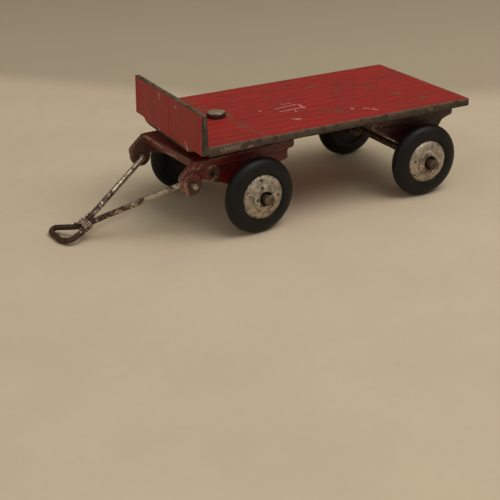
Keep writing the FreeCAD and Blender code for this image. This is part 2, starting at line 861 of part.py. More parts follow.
for item in doc.Objects:
    if "Invalid" in item.State or "Error" in item.State:
        raise RuntimeError(f"{item.Label} failed: {item.State}")
for body in sub_parts:
    if body.Shape.isNull() or not body.Shape.isValid() or len(body.Shape.Solids) != 1:
        raise RuntimeError(f"{body.Label} is not one valid solid")
for body in sub_parts:
    body.Shape.exportStep(f"parts/{body.Label}.step")
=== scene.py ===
import json
import math

import bmesh
import bpy
import numpy as np
from bpy.props import FloatProperty, FloatVectorProperty, IntProperty, PointerProperty
from mathutils import Matrix, Vector, noise


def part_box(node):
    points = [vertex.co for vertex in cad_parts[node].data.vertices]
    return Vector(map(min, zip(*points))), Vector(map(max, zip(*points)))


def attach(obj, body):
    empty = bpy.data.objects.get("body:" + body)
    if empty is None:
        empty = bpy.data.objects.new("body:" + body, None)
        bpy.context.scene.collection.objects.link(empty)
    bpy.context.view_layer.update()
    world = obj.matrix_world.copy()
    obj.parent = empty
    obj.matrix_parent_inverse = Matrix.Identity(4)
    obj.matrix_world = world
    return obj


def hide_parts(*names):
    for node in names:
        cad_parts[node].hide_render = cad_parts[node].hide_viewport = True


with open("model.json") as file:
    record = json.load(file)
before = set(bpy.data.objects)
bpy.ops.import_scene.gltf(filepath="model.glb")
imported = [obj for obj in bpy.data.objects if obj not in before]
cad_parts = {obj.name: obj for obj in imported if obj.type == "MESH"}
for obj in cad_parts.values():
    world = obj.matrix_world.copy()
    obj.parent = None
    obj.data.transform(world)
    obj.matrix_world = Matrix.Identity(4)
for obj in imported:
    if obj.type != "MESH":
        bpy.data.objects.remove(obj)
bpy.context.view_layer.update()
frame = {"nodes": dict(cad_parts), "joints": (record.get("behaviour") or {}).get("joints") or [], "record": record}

bl_info = {
    "name": "Flat Trailer Looks",
    "version": (1, 0, 0),
    "blender": (4, 5, 0),
    "location": "3D View > Sidebar > Trailer",
    "description": "Worn enamel, bare castings, rubber and wire for a toy flat trailer",
    "category": "Object",
}

MM = 0.001
JOINTS = {joint["name"]: joint for joint in frame["joints"]}
MOUNTS = {mount["name"]: mount for mount in frame["record"]["mounts"]}
PIVOT = Vector(JOINTS["steering"]["pos_m"]) / MM
EYES = Vector(JOINTS["drawbar_lift"]["pos_m"]) / MM
LIFT_AXIS = Vector(JOINTS["drawbar_lift"]["axis"]).normalized()
STEER = math.atan2(LIFT_AXIS.x, -LIFT_AXIS.y)
BED_LOW, BED_HIGH = (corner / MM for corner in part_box("flat_bed"))
BED_TOP = MOUNTS["bed"]["pos_m"][2] / MM
# Directions on the floor: away from the camera, and across its view.
FLOOR_AWAY = (-0.4412, -0.8974, 0.0)
FLOOR_ACROSS = (-0.8911, 0.4538, 0.0)


# ------------------------------------------------------------------ settings


class TrailerBedSettings(bpy.types.PropertyGroup):
    """Sizes and colours of the cast bed and the other red castings."""

    plank_pitch: FloatProperty(
        name="Plank Pitch", description="Width of one moulded plank",
        default=3.66 * MM, unit="LENGTH", subtype="DISTANCE",
    )
    groove_width: FloatProperty(
        name="Groove Width", description="Width of the groove between planks",
        default=0.36 * MM, unit="LENGTH", subtype="DISTANCE",
    )
    groove_depth: FloatProperty(
        name="Groove Depth", description="Depth of the groove between planks",
        default=0.13 * MM, unit="LENGTH", subtype="DISTANCE",
    )
    edge_radius: FloatProperty(
        name="Edge Radius", description="Rounding of the worn edges of the bed",
        default=0.32 * MM, unit="LENGTH", subtype="DISTANCE",
    )
    enamel: FloatVectorProperty(
        name="Enamel", description="Red enamel where it is whole",
        default=(0.40, 0.0145, 0.0145), size=3, min=0, max=1, subtype="COLOR",
    )
    enamel_faded: FloatVectorProperty(
        name="Faded Enamel", description="Red enamel where it is rubbed thin",
        default=(0.30, 0.018, 0.014), size=3, min=0, max=1, subtype="COLOR",
    )


class TrailerWheelSettings(bpy.types.PropertyGroup):
    """Sizes and colours of the wheels and axles."""

    tyre_radius: FloatProperty(
        name="Tyre Radius", description="Outside radius of the tyre",
        default=10.0 * MM, unit="LENGTH", subtype="DISTANCE",
    )
    tyre_half_width: FloatProperty(
        name="Tyre Half Width", description="Half the width of the tyre",
        default=2.2 * MM, unit="LENGTH", subtype="DISTANCE",
    )
    hub_colour: FloatVectorProperty(
        name="Hub", description="Dull silver of the bare hub casting",
        default=(0.50, 0.42, 0.32), size=3, min=0, max=1, subtype="COLOR",
    )
    rubber: FloatVectorProperty(
        name="Rubber", description="Black of the tyres",
        default=(0.0062, 0.0052, 0.0045), size=3, min=0, max=1, subtype="COLOR",
    )


class TrailerDrawbarSettings(bpy.types.PropertyGroup):
    """Sizes and colours of the wire drawbar and its binding."""

    slope: FloatProperty(
        name="Slope", description="How far the drawbar hangs down from level",
        default=math.radians(25.95), unit="ROTATION", subtype="ANGLE",
    )
    wire_radius: FloatProperty(
        name="Wire Radius", description="Radius of the drawbar wire",
        default=0.75 * MM, unit="LENGTH", subtype="DISTANCE",
    )
    binding_radius: FloatProperty(
        name="Binding Radius", description="Radius of the binding wire",
        default=0.24 * MM, unit="LENGTH", subtype="DISTANCE",
    )
    binding_turns: IntProperty(
        name="Binding Turns", description="Turns of wire round the neck",
        default=4, min=1, max=12,
    )
    rubbed_steel: FloatVectorProperty(
        name="Rubbed Steel", description="Pale steel where the wire is handled",
        default=(0.56, 0.47, 0.36), size=3, min=0, max=1, subtype="COLOR",
    )
    rusty_steel: FloatVectorProperty(
        name="Rusty Steel", description="Brown steel where the wire has rusted",
        default=(0.075, 0.033, 0.016), size=3, min=0, max=1, subtype="COLOR",
    )


class TrailerStageSettings(bpy.types.PropertyGroup):
    """Floor, lights and camera."""

    floor_colour: FloatVectorProperty(
        name="Floor", description="Plain pale floor",
        default=(0.72, 0.605, 0.435), size=3, min=0, max=1, subtype="COLOR",
    )
    lens: FloatProperty(
        name="Lens", description="Focal length of the camera",
        default=73.38 * MM, unit="CAMERA", subtype="DISTANCE",
    )
    key_power: FloatProperty(
        name="Key Light", description="Power of the large soft light",
        default=4.6, unit="POWER",
    )


# ------------------------------------------------------------------ node helpers

FLOAT, INTEGER, VECTOR, COLOUR, MATERIAL, GEOMETRY = (
    "NodeSocket" + kind for kind in ("Float", "Int", "Vector", "Color", "Material", "Geometry")
)


def plug(socket, value):
    """Links a node's output to a socket, or sets the socket to a constant."""
    value = getattr(value, "socket", value)
    if isinstance(value, bpy.types.NodeSocket):
        socket.id_data.links.new(value, socket)
    elif socket.type == "RGBA" and len(value) == 3:
        socket.default_value = (*value, 1.0)
    else:
        socket.default_value = value


def add_node(tree, kind, values=None, **settings):
    node = tree.nodes.new(kind)
    for name, setting in settings.items():
        setattr(node, name, setting)
    for key, value in (values or {}).items():
        plug(node.inputs[key], value)
    return node


class Value:
    """A node's output that can be reckoned with: + - * and / add Math nodes to its tree."""

    def __init__(self, socket):
        self.socket = socket
        self.tree = socket.id_data

    def reckon(self, operation, *others):
        return math_value(self.tree, operation, self, *others)

    def vector(self, operation, other=(0, 0, 0), output="Vector"):
        node = add_node(self.tree, "ShaderNodeVectorMath", {0: self, 1: other}, operation=operation)
        return Value(node.outputs[output])

    def stretched(self, factor):
        """The vector made longer by a factor."""
        node = add_node(self.tree, "ShaderNodeVectorMath", {0: self}, operation="SCALE")
        plug(node.inputs["Scale"], factor)
        return Value(node.outputs[0])

    def held(self):
        """The value kept between 0 and 1."""
        return self.reckon("MINIMUM", 1.0).reckon("MAXIMUM", 0.0)

    def __add__(self, other):
        return self.reckon("ADD", other)

    def __sub__(self, other):
        return self.reckon("SUBTRACT", other)

    def __mul__(self, other):
        return self.reckon("MULTIPLY", other)

    def __truediv__(self, other):
        return self.reckon("DIVIDE", other)

    def __radd__(self, other):
        return math_value(self.tree, "ADD", other, self)

    def __rsub__(self, other):
        return math_value(self.tree, "SUBTRACT", other, self)


def math_value(tree, operation, *values):
    node = add_node(tree, "ShaderNodeMath", dict(enumerate(values)), operation=operation)
    return Value(node.outputs[0])


def fade(value, low, high):
    """0 below low and 1 above high, eased; with low above high it runs the other way."""
    values = {"Value": value, "From Min": low, "From Max": high}
    node = add_node(value.tree, "ShaderNodeMapRange", values,
                    interpolation_type="SMOOTHSTEP", clamp=False)
    return Value(node.outputs[0])


def mix_colour(factor, first, second):
    node = add_node(factor.tree, "ShaderNodeMix", data_type="RGBA")
    for index, value in ((0, factor), (6, first), (7, second)):
        plug(node.inputs[index], value)
    return Value(node.outputs[2])


def mix_value(factor, first, second):
    node = add_node(factor.tree, "ShaderNodeMix", data_type="FLOAT")
    for index, value in ((0, factor), (2, first), (3, second)):
        plug(node.inputs[index], value)
    return Value(node.outputs[0])


def noise_value(position, scale, detail=4.0, roughness=0.6, distortion=0.0):
    values = {
        "Vector": position, "Scale": scale, "Detail": detail,
        "Roughness": roughness, "Distortion": distortion,
    }
    return Value(add_node(position.tree, "ShaderNodeTexNoise", values).outputs[0])


def greatest(result, *others):
    for value in others:
        result = result.reckon("MAXIMUM", value)
    return result


def new_group(name, inputs, outputs, kind="ShaderNodeTree"):
    """A node group; each input has its default or, where it needs none, its socket type."""
    tree = bpy.data.node_groups.new(name, kind)
    for label, default in inputs.items():
        plain = {int: INTEGER, float: FLOAT}.get(type(default), default)
        socket = tree.interface.new_socket(label, in_out="INPUT", socket_type=plain)
        if plain != default:
            socket.default_value = default
    for label, socket_type in outputs.items():
        tree.interface.new_socket(label, in_out="OUTPUT", socket_type=socket_type)
    sockets = tree.nodes.new("NodeGroupInput").outputs
    given = {socket.name: Value(socket) for socket in sockets if socket.name}
    return tree, given, tree.nodes.new("NodeGroupOutput").inputs


# ------------------------------------------------------------------ shader groups


def build_edge_wear_group():
    """Where a finish is rubbed off, from an edge mask broken up by grain."""
    tree, given, out = new_group("Edge Wear", {
        "Position": VECTOR, "Edge": 0.0, "Amount": 0.5, "Ragged": 0.8, "Grain": 900.0,
        "Softness": 0.07,
    }, {"Mask": FLOAT, "Lip": FLOAT})
    broad = noise_value(given["Position"], given["Grain"], 3, 0.55)
    fine_scale = given["Grain"] * 4.5
    fine = noise_value(given["Position"], fine_scale, 2, 0.6)
    both = broad + fine * 0.45 - 0.725
    near = fade(given["Edge"], 0.02, 0.3)
    jag = both * 2.0 * given["Ragged"]
    level = given["Edge"] + jag * near
    threshold = 1.0 - given["Amount"]
    low = threshold - given["Softness"]
    high = threshold + given["Softness"]
    mask = fade(level, low, high)
    wider = fade(level, low - 0.25, low)
    rim = (wider - mask).held()
    plug(out["Mask"], mask)
    plug(out["Lip"], rim * near)
    return tree


def build_mottle_group():
    """Two colours in uneven clouds."""
    tree, given, out = new_group("Mottle", {
        "Position": VECTOR, "First": COLOUR, "Second": COLOUR, "Scale": 300.0, "Balance": 0.5,
        "Contrast": 0.15,
    }, {"Color": COLOUR, "Mask": FLOAT})
    cloud = noise_value(given["Position"], given["Scale"], 6, 0.62, 0.3)
    low = given["Balance"] - given["Contrast"]
    high = given["Balance"] + given["Contrast"]
    mask = fade(cloud, low, high)
    plug(out["Mask"], mask)
    plug(out["Color"], mix_colour(mask, given["First"], given["Second"]))
    return tree


def build_pits_group():
    """Scattered round pits or chips, only in some of the cells."""
    tree, given, out = new_group("Pits", {
        "Position": VECTOR, "Scale": 900.0, "Size": 0.25, "Share": 0.3,
    }, {"Mask": FLOAT})
    enlarged = given["Position"].stretched(900.0)
    wobble = add_node(tree, "ShaderNodeTexNoise", {"Vector": enlarged, "Scale": 2.0})
    wobble = Value(wobble.outputs[1]).vector("SUBTRACT", (0.5, 0.5, 0.5))
    place = given["Position"].vector("ADD", wobble.stretched(0.0009))
    cells = add_node(tree, "ShaderNodeTexVoronoi", {"Vector": place, "Scale": given["Scale"]})
    chance = add_node(tree, "ShaderNodeSeparateColor", {0: cells.outputs["Color"]})
    chosen = Value(chance.outputs[0]).reckon("LESS_THAN", given["Share"])
    inner = given["Size"] * 0.55
    spot = fade(Value(cells.outputs["Distance"]), given["Size"], inner)
    plug(out["Mask"], spot * chosen)
    return tree


def build_stroke_group():
    """One scratch or rubbed spot between two points; Grain, about 0.5, makes it ragged."""
    tree, given, out = new_group("Stroke", {
        "Position": VECTOR, "Start": VECTOR, "End": VECTOR, "Half Width": 0.0003,
        "Ragged": 0.0004, "Grain": 0.5,
    }, {"Mask": FLOAT})
    away = given["Position"].vector("SUBTRACT", given["Start"])
    line = given["End"].vector("SUBTRACT", given["Start"])
    along = away.vector("DOT_PRODUCT", line, output="Value")
    square = line.vector("DOT_PRODUCT", line, output="Value")
    part = (along / square.reckon("MAXIMUM", 1e-12)).held()
    distance = away.vector("SUBTRACT", line.stretched(part)).vector("LENGTH", output="Value")
    jag = (given["Grain"] - 0.5) * 2.0
    uneven = distance + jag * given["Ragged"]
    inner = given["Half Width"] * 0.5
    plug(out["Mask"], fade(uneven, given["Half Width"], inner))
    return tree


def build_soil_and_shade_group():
    """Old dirt with painted shade: more on faces that look down and in hollows, where shade falls."""
    tree, given, out = new_group("Soil And Shade", {
        "Position": VECTOR, "Hollow": 0.0, "Amount": 0.4, "Scale": 260.0,
    }, {"Mask": FLOAT})
    normal = tree.nodes.new("ShaderNodeNewGeometry").outputs["Normal"]
    height = add_node(tree, "ShaderNodeSeparateXYZ", {0: normal}).outputs[2]
    # painted shade: faces that look down get more of the darkening
    down = fade(Value(height), 0.3, -0.6)
    cloud = noise_value(given["Position"], given["Scale"], 5, 0.6)
    base = down * 0.5 + given["Hollow"]
    mixed = (base + 0.25) * cloud
    plug(out["Mask"], (mixed * given["Amount"]).held())
    return tree


GROUPS = {}


def shader_groups():
    """The shared groups, made once."""
    if not GROUPS:
        GROUPS.update({
            "edge wear": build_edge_wear_group(), "mottle": build_mottle_group(),
            "pits": build_pits_group(), "stroke": build_stroke_group(),
            "soil_and_shade": build_soil_and_shade_group(),
        })
    return GROUPS


def use_group(name, position, values):
    """The outputs of a shared group at a position."""
    inputs = {"Position": position, **values}
    node = add_node(position.tree, "ShaderNodeGroup", inputs, node_tree=shader_groups()[name])
    return [Value(socket) for socket in node.outputs]


def mottle(position, first, second, scale, balance=0.5, contrast=0.2):
    return use_group("mottle", position, {
        "First": first, "Second": second, "Scale": scale, "Balance": balance, "Contrast": contrast,
    })


def pits_mask(position, scale, size, share):
    return use_group("pits", position, {"Scale": scale, "Size": size, "Share": share})[0]


def shaded(colour, factor):
    """A constant colour made darker or paler."""
    return [value * factor for value in colour]


# ------------------------------------------------------------------ materials


def start_material(name):
    """A material with its shader, its tree and the piece's own coordinates."""
    material = bpy.data.materials.new(name)
    material.use_nodes = True
    tree = material.node_tree
    shader = next(node for node in tree.nodes if node.type == "BSDF_PRINCIPLED")
    position = Value(tree.nodes.new("ShaderNodeTexCoord").outputs["Object"])
    return material, tree, shader, position


def attribute(tree, name):
    return Value(add_node(tree, "ShaderNodeAttribute", attribute_name=name).outputs["Fac"])


def finish_shader(shader, colour, roughness, metallic=0.0):
    plug(shader.inputs["Base Color"], colour)
    plug(shader.inputs["Roughness"], roughness)
    plug(shader.inputs["Metallic"], metallic)


def relief(shader, height, distance, strength):
    values = {"Height": height, "Distance": distance, "Strength": strength}
    plug(shader.inputs["Normal"], add_node(height.tree, "ShaderNodeBump", values).outputs[0])


def stroke_mask(position, grain, strokes):
    """All marks of one kind: start, end, half width and raggedness, in millimetres.

    Ends that are given by two numbers lie on the deck.
    """
    masks = []
    for *ends, half_width, ragged in strokes:
        count = len(ends) // 2
        start, end = ends[:count], ends[count:]
        if count == 2:
            start, end = [*start, BED_TOP], [*end, BED_TOP]
        masks.append(use_group("stroke", position, {
            "Start": shaded(start, MM), "End": shaded(end, MM),
            "Half Width": half_width * MM, "Ragged": ragged * MM, "Grain": grain,
        })[0])
    return greatest(*masks)


def enamel_material(name, settings, look, marks=()):
    """Satin red enamel over old bare casting, with worn edges, chips, grime with painted shade, and fine relief.
    """
    material, tree, shader, position = start_material(name)
    red = shaded(settings.enamel, look["tone"])
    faded = shaded(settings.enamel_faded, look["tone"])

    base = mottle(position, red, faded, 130.0, 0.52)[0]
    lengthwise = position.vector("MULTIPLY", (0.07, 1.0, 1.0))
    brushed = noise_value(lengthwise, 2100.0, 4, 0.7)
    deck = attribute(tree, "deck")
    darker = fade(brushed, 0.5, 0.72) * deck
    paler = fade(brushed, 0.5, 0.3) * deck
    colour = mix_colour(darker * 0.6, base, shaded(red, 0.5))
    colour = mix_colour(
        paler * 0.3, colour, (red[0] * 1.2, red[1] * 1.5 + 0.01, red[2] * 1.5 + 0.01),
    )
    broken = fade(noise_value(position, 420.0, 4, 0.6), 0.38, 0.6)
    joint = attribute(tree, "groove") * broken
    colour = mix_colour(joint * 0.32, colour, (0.075, 0.012, 0.008))

    rubbed = noise_value(position, look["rub_scale"], 6, 0.68, 0.5)
    thin = fade(rubbed, look["rub_from"], look["rub_from"] + 0.1) * look["rub"]
    colour = mix_colour(thin, colour, look["rub_colour"])
    # Dirt and painted shade: hollows and faces that look down are darkened nearly to black.
    hollow = attribute(tree, "hollow")
    soil_and_shade = use_group("soil_and_shade", position, {"Hollow": hollow, "Amount": look["dirt_and_shade"]})[0]
    colour = mix_colour(soil_and_shade, colour, (0.016, 0.008, 0.006))

    bare = mottle(position, look["metal"], shaded(look["metal"], 0.5), 600.0)[0]
    wear, lip = use_group("edge wear", position, {
        "Edge": attribute(tree, "edge"), "Amount": look["wear"], "Ragged": look["ragged"],
        "Grain": look["grain"], "Softness": look["soft"],
    })
    speckle = pits_mask(position, 480.0, 0.15, look["chips"])
    worn = greatest(wear, speckle * 0.8)
    colour = mix_colour(lip * 0.4, colour, (0.26, 0.14, 0.09))
    grain = noise_value(position, *look["mark_grain"]) if marks else None
    for below, bared, strokes in marks:
        mask = stroke_mask(position, grain, strokes)
        bare = mix_colour(mask, bare, below)
        if bared:
            worn = greatest(worn, mask * bared)
    rim = attribute(tree, "rim") * fade(broken, 0.0, 0.7)
    bare = mix_colour(rim * 0.6, bare, (0.24, 0.17, 0.11))
    colour = mix_colour(worn, colour, bare)

    cloud = noise_value(position, 500.0, 4, 0.6)
    satin = mix_value(cloud, look["gloss"], look["gloss"] + 0.22)
    finish_shader(shader, colour, mix_value(worn, satin, 0.62), worn * 0.3)
    shader.inputs["Specular IOR Level"].default_value = look["shine"]

    peel = noise_value(position, 900.0, 3, 0.5)
    fine = noise_value(position, 3600.0, 2, 0.5)
    relief(shader, peel * 0.6 + fine * 0.25 - worn * 0.6, 0.00006, 0.9)
    return material


# The scars of the enamel: for each kind the colour below, how far it is bared, and its strokes.
BED_MARKS = [
    # line rubbed across the planks, and spots
    ((0.185, 0.105, 0.047), 0.82, [
        (9.8, -18.6, 8.8, -13.9, 0.5, 0.8), (10.4, -16.6, 8.3, -14.6, 0.36, 0.6),
        (9.4, -11.5, 8.3, -9.1, 0.45, 0.8), (11.1, -9.7, 8.8, -6.3, 0.55, 0.9),
        (5.8, -1.6, 6.4, 2.7, 0.7, 1.2), (7.9, 5.4, 7.3, 7.1, 0.4, 0.8),
        (6.7, 8.0, 5.4, 9.7, 0.5, 0.8), (7.9, 9.4, 6.2, 13.4, 0.78, 1.1),
        (7.1, 15.0, 5.5, 18.1, 0.5, 0.9), (5.9, 19.4, 5.2, 21.3, 0.5, 0.9),
        (-16.8, 9.4, -17.9, 9.6, 0.85, 1.0), (-19.4, 13.0, -20.6, 13.2, 1.05, 1.2),
        (-24.8, -11.3, -26.4, -11.1, 0.95, 1.2), (-29.5, -4.8, -31.2, -4.8, 0.8, 1.2),
        (-41.2, 7.2, -43.0, 7.3, 1.05, 1.3), (-45.6, 14.1, -46.9, 14.3, 0.9, 1.2),
        (-9.8, -9.2, -10.8, -9.0, 0.65, 0.9), (-38.4, -2.2, -40.4, -2.0, 0.7, 1.0),
    ]),
    # pale chips of the deck and the headboard
    ((0.72, 0.46, 0.35), 0.85, [
        (-27.2, 14.1, -28.0, 15.2, 0.32, 0.2), (-28.6, 16.0, -29.3, 17.3, 0.36, 0.15),
        (-24.2, 12.8, -24.4, 13.1, 0.56, 0.0), (-2.2, 1.7, -2.5, 1.9, 0.36, 0.15),
        (-7.0, 13.0, -7.8, 13.6, 0.34, 0.35), (-4.6, -13.6, -4.8, -13.4, 0.28, 0.1),
        (23.7, 11.9, 24.8, 23.7, 12.8, 23.0, 0.28, 0.2),
        (23.7, 12.8, 23.6, 23.7, 13.2, 22.9, 0.42, 0.5),
        (23.4, -5.2, 33.2, 23.4, -4.9, 32.5, 0.4, 0.7),
        (23.4, -5.0, 31.8, 23.4, -5.0, 31.5, 0.3, 0.5),
        (23.4, 5.7, 32.3, 23.4, 5.9, 31.9, 0.3, 0.5),
        (23.6, -5.2, 23.6, 23.6, -5.0, 23.0, 0.3, 0.5),
    ]),
    # thin pale scratches
    ((0.74, 0.4, 0.32), 0.88, [
        (-6.8, 2.3, -13.5, 1.5, 0.3, 0.3), (-6.8, 5.1, -14.5, 4.9, 0.3, 0.3),
        (-10.2, -1.1, -11.0, -0.3, 0.24, 0.3), (-11.9, -0.6, -12.7, -0.3, 0.24, 0.3),
        (-14.2, 1.9, -13.9, 5.5, 0.36, 0.3), (-11.1, 5.1, -10.4, 7.4, 0.22, 0.3),
        (-6.6, 12.2, -8.4, 13.3, 0.34, 0.4),
    ]),
    # paler bare places along the side of the bed
    ((0.21, 0.135, 0.11), 0.0, [
        (18.4, 22.0, 24.7, 13.8, 22.0, 24.8, 0.6, 1.6),
        (11.2, 22.0, 24.2, 10.2, 22.0, 24.3, 0.34, 1.0),
        (-42.8, 22.0, 25.0, -43.6, 22.0, 24.9, 0.4, 1.2),
        (-3.0, 22.0, 23.9, -5.4, 22.0, 23.8, 0.22, 0.8),
    ]),
]
FRAME_MARKS = [
    # browned arms, spring eye and crossbar end; on the shadowed inner face of the far arm the dark brown is also
    # painted shade
    ((0.085, 0.048, 0.028), 0.85, [
        (27.0, -11.1, 17.2, 27.2, -11.1, 13.6, 3.3, 3.0),
        (18.4, 16.2, 17.2, 17.6, 16.2, 15.2, 2.1, 2.2),
        (24.2, 16.2, 14.8, 24.0, 16.2, 13.8, 2.2, 2.2),
        (13.0, 15.8, 17.6, 9.0, 15.8, 16.6, 1.0, 2.2),
        (26.2, -12.0, 19.9, 26.4, -12.4, 18.6, 1.2, 1.4),
    ]),
    # rubbed crossbar lip, plate edges and arms, pale bare metal that is partly painted highlight on the lit
    # crossbar lip and arm edges
    ((0.37, 0.22, 0.14), 0.8, [
        (28.3, 15.6, 17.2, 27.2, 15.4, 13.6, 0.9, 1.6),
        (26.0, -10.4, 20.4, 25.6, -7.4, 20.4, 0.5, 1.1),
        (25.5, -5.6, 20.0, 24.9, -0.6, 20.0, 0.45, 1.0),
        (24.7, 1.6, 19.2, 24.2, 6.6, 19.4, 0.4, 1.0),
        (18.0, 16.3, 18.6, 19.4, 16.3, 18.4, 0.5, 0.9),
        (17.4, 16.3, 15.6, 18.8, 16.3, 15.0, 0.4, 0.8),
        (26.4, 16.3, 15.6, 25.8, 16.3, 12.6, 0.5, 0.8),
        (22.5, 15.6, 20.0, 26.8, 15.6, 17.2, 0.4, 0.9),
        (29.0, -13.0, 17.0, 28.4, -13.0, 13.4, 0.6, 1.0),
        (21.0, 16.0, 19.6, 22.6, 16.0, 18.6, 0.35, 0.9),
    ]),
]
BED_LOOK = {
    "tone": 1.0, "wear": 0.56, "ragged": 0.4, "grain": 900.0, "soft": 0.08, "chips": 0.02,
    "dirt_and_shade": 0.2,
    "rub": 0.35, "rub_scale": 260.0, "rub_from": 0.6, "rub_colour": (0.16, 0.035, 0.02),
    "gloss": 0.38, "shine": 0.36, "metal": (0.079, 0.057, 0.039),
    "mark_grain": (2000.0, 3, 0.65),
}
# Castings: enamel darker than the bed's and more soil-and-shade darkening, partly for their browner, dirtier paint
# and partly as painted shade on the plates under the bed.
FRAME_LOOK = {
    "tone": 0.54, "wear": 0.34, "ragged": 2.2, "grain": 520.0, "soft": 0.2, "chips": 0.16,
    "dirt_and_shade": 1.3,
    "rub": 0.85, "rub_scale": 340.0, "rub_from": 0.5, "rub_colour": (0.05, 0.018, 0.013),
    "gloss": 0.32, "shine": 0.5, "metal": (0.19, 0.105, 0.07),
    "mark_grain": (1400.0, 4, 0.65),
}
# Painted shade: the rear frame lies in shadow under the bed, so its enamel is made nearly black and darkened
# further by the soil-and-shade mask.
REAR_LOOK = {**FRAME_LOOK, "tone": 0.13, "wear": 0.2, "dirt_and_shade": 1.8}


def casting_material(settings):
    """Dull silver bare casting, mottled and pitted, near black inside, with painted shade in the steps and in the
    recess round the axle.
    """
    material, tree, shader, position = start_material("bare_casting")
    silver = list(settings.hub_colour)
    base = mottle(position, silver, shaded(silver, 0.55), 560.0, 0.52, 0.14)
    dark = pits_mask(position, 620.0, 0.4, 0.24)
    small = pits_mask(position, 1700.0, 0.36, 0.3)
    blotch = noise_value(position, 900.0, 5, 0.7, 0.6)
    pits = greatest(dark, small * 0.8, fade(blotch, 0.63, 0.7))
    # Painted shade: inner corners and steps of the hub are darkened, broken up by noise.
    broken = fade(noise_value(position, 800.0, 4, 0.6), 0.36, 0.56)
    crevice_shade = (attribute(tree, "hollow") * broken).held()
    # inside: near black on the inner face of the hub, and painted shade in the recess round the axle.
    inside = attribute(tree, "inside")
    rust = fade(noise_value(position, 420.0, 4, 0.6), 0.56, 0.68)
    colour = mix_colour(rust * 0.4, base[0], (0.2, 0.12, 0.065))
    patchy = fade(noise_value(position, 560.0, 4, 0.65), 0.43, 0.6)
    stain = attribute(tree, "stain") * patchy
    colour = mix_colour(stain * 0.8, colour, (0.075, 0.042, 0.023))
    colour = mix_colour(pits, colour, (0.05, 0.035, 0.022))
    # painted shade in the steps, then the inside made near black
    colour = mix_colour(crevice_shade, colour, (0.03, 0.02, 0.013))
    colour = mix_colour(inside * 0.96, colour, (0.016, 0.013, 0.011))
    rough = greatest(pits, crevice_shade, inside, stain * 0.7)
    finish_shader(shader, colour, mix_value(rough, 0.4, 0.8), mix_value(rough, 0.6, 0.05))
    grain = noise_value(position, 1300.0, 5, 0.6)
    relief(shader, grain - pits * 0.9, 0.00018, 0.95)
    return material


def rubber_material(settings):
    """Old black rubber with a faint dusty bloom."""
    material, _, shader, position = start_material("rubber_tyre")
    black = list(settings.rubber)
    base = mottle(position, black, shaded(black, 1.9), 330.0, 0.56)
    dust = noise_value(position, 1600.0, 5, 0.7)
    colour = mix_colour(fade(dust, 0.56, 0.8) * 0.2, base[0], (0.05, 0.042, 0.032))
    finish_shader(shader, colour, mix_value(base[1], 0.42, 0.56))
    shader.inputs["Specular IOR Level"].default_value = 0.24
    relief(shader, noise_value(position, 2400.0, 4, 0.6), 0.00005, 0.6)
    return material


def steel_material(name, bright, brown, balance, scale, roughness, along=False, metal=0.85):
    """Worn steel that has browned in patches; along makes one end of a wire rustier."""
    material, tree, shader, position = start_material(name)
    cloud = noise_value(position, scale, 6, 0.66, 0.4)
    speck = noise_value(position, scale * 4, 3, 0.6)
    level = cloud + (speck - 0.5) * 0.48
    if along:
        level = level + attribute(tree, "rust")
    rusty = fade(level, balance - 0.07, balance + 0.07)
    clean = mottle(position, bright, shaded(bright, 0.68), scale * 1.7)[0]
    crust = mottle(position, brown, shaded(brown, 0.45), scale * 2.3)[0]
    colour = mix_colour(rusty, clean, crust)
    finish_shader(shader, colour, mix_value(rusty, roughness, 0.68), mix_value(rusty, metal, 0.15))
    relief(shader, speck + rusty * 0.5, 0.00006, 0.8)
    return material


def floor_material(settings):
    """Plain matt card, very slightly uneven, with painted shade that makes it a little darker far behind the
    piece.
    """
    material, _, shader, position = start_material("pale_floor")
    pale = list(settings.floor_colour)
    base = mottle(position, pale, shaded(pale, 0.92), 30.0, 0.5, 0.25)[0]
    fibre = noise_value(position, 420.0, 5, 0.65)
    colour = mix_colour(fade(fibre, 0.45, 0.8) * 0.16, base, shaded(pale, 0.8))
    sway = noise_value(position, 9.0, 2, 0.5) - 0.5
    reach = position.vector("DOT_PRODUCT", FLOOR_AWAY, output="Value") + sway * 0.02
    across = position.vector("DOT_PRODUCT", FLOOR_ACROSS, output="Value")
    across = across.reckon("MINIMUM", 0.0).reckon("MAXIMUM", -0.12)
    reach = reach + across * 0.46
    # Painted shade: bands of darker floor far from the camera, stepped and then fading further off.
    shade = fade(reach, 0.082, 0.108)
    far = fade(reach, 0.1, 0.3)
    colour = mix_colour(shade * 0.85, colour, shaded(pale, 0.66))
    colour = mix_colour(far * 0.75, colour, shaded(pale, 0.62))
    finish_shader(shader, colour, 0.85)
    shader.inputs["Specular IOR Level"].default_value = 0.15
    relief(shader, noise_value(position, 700.0, 4, 0.6), 0.00006, 0.6)
    return material


MATERIALS = {}


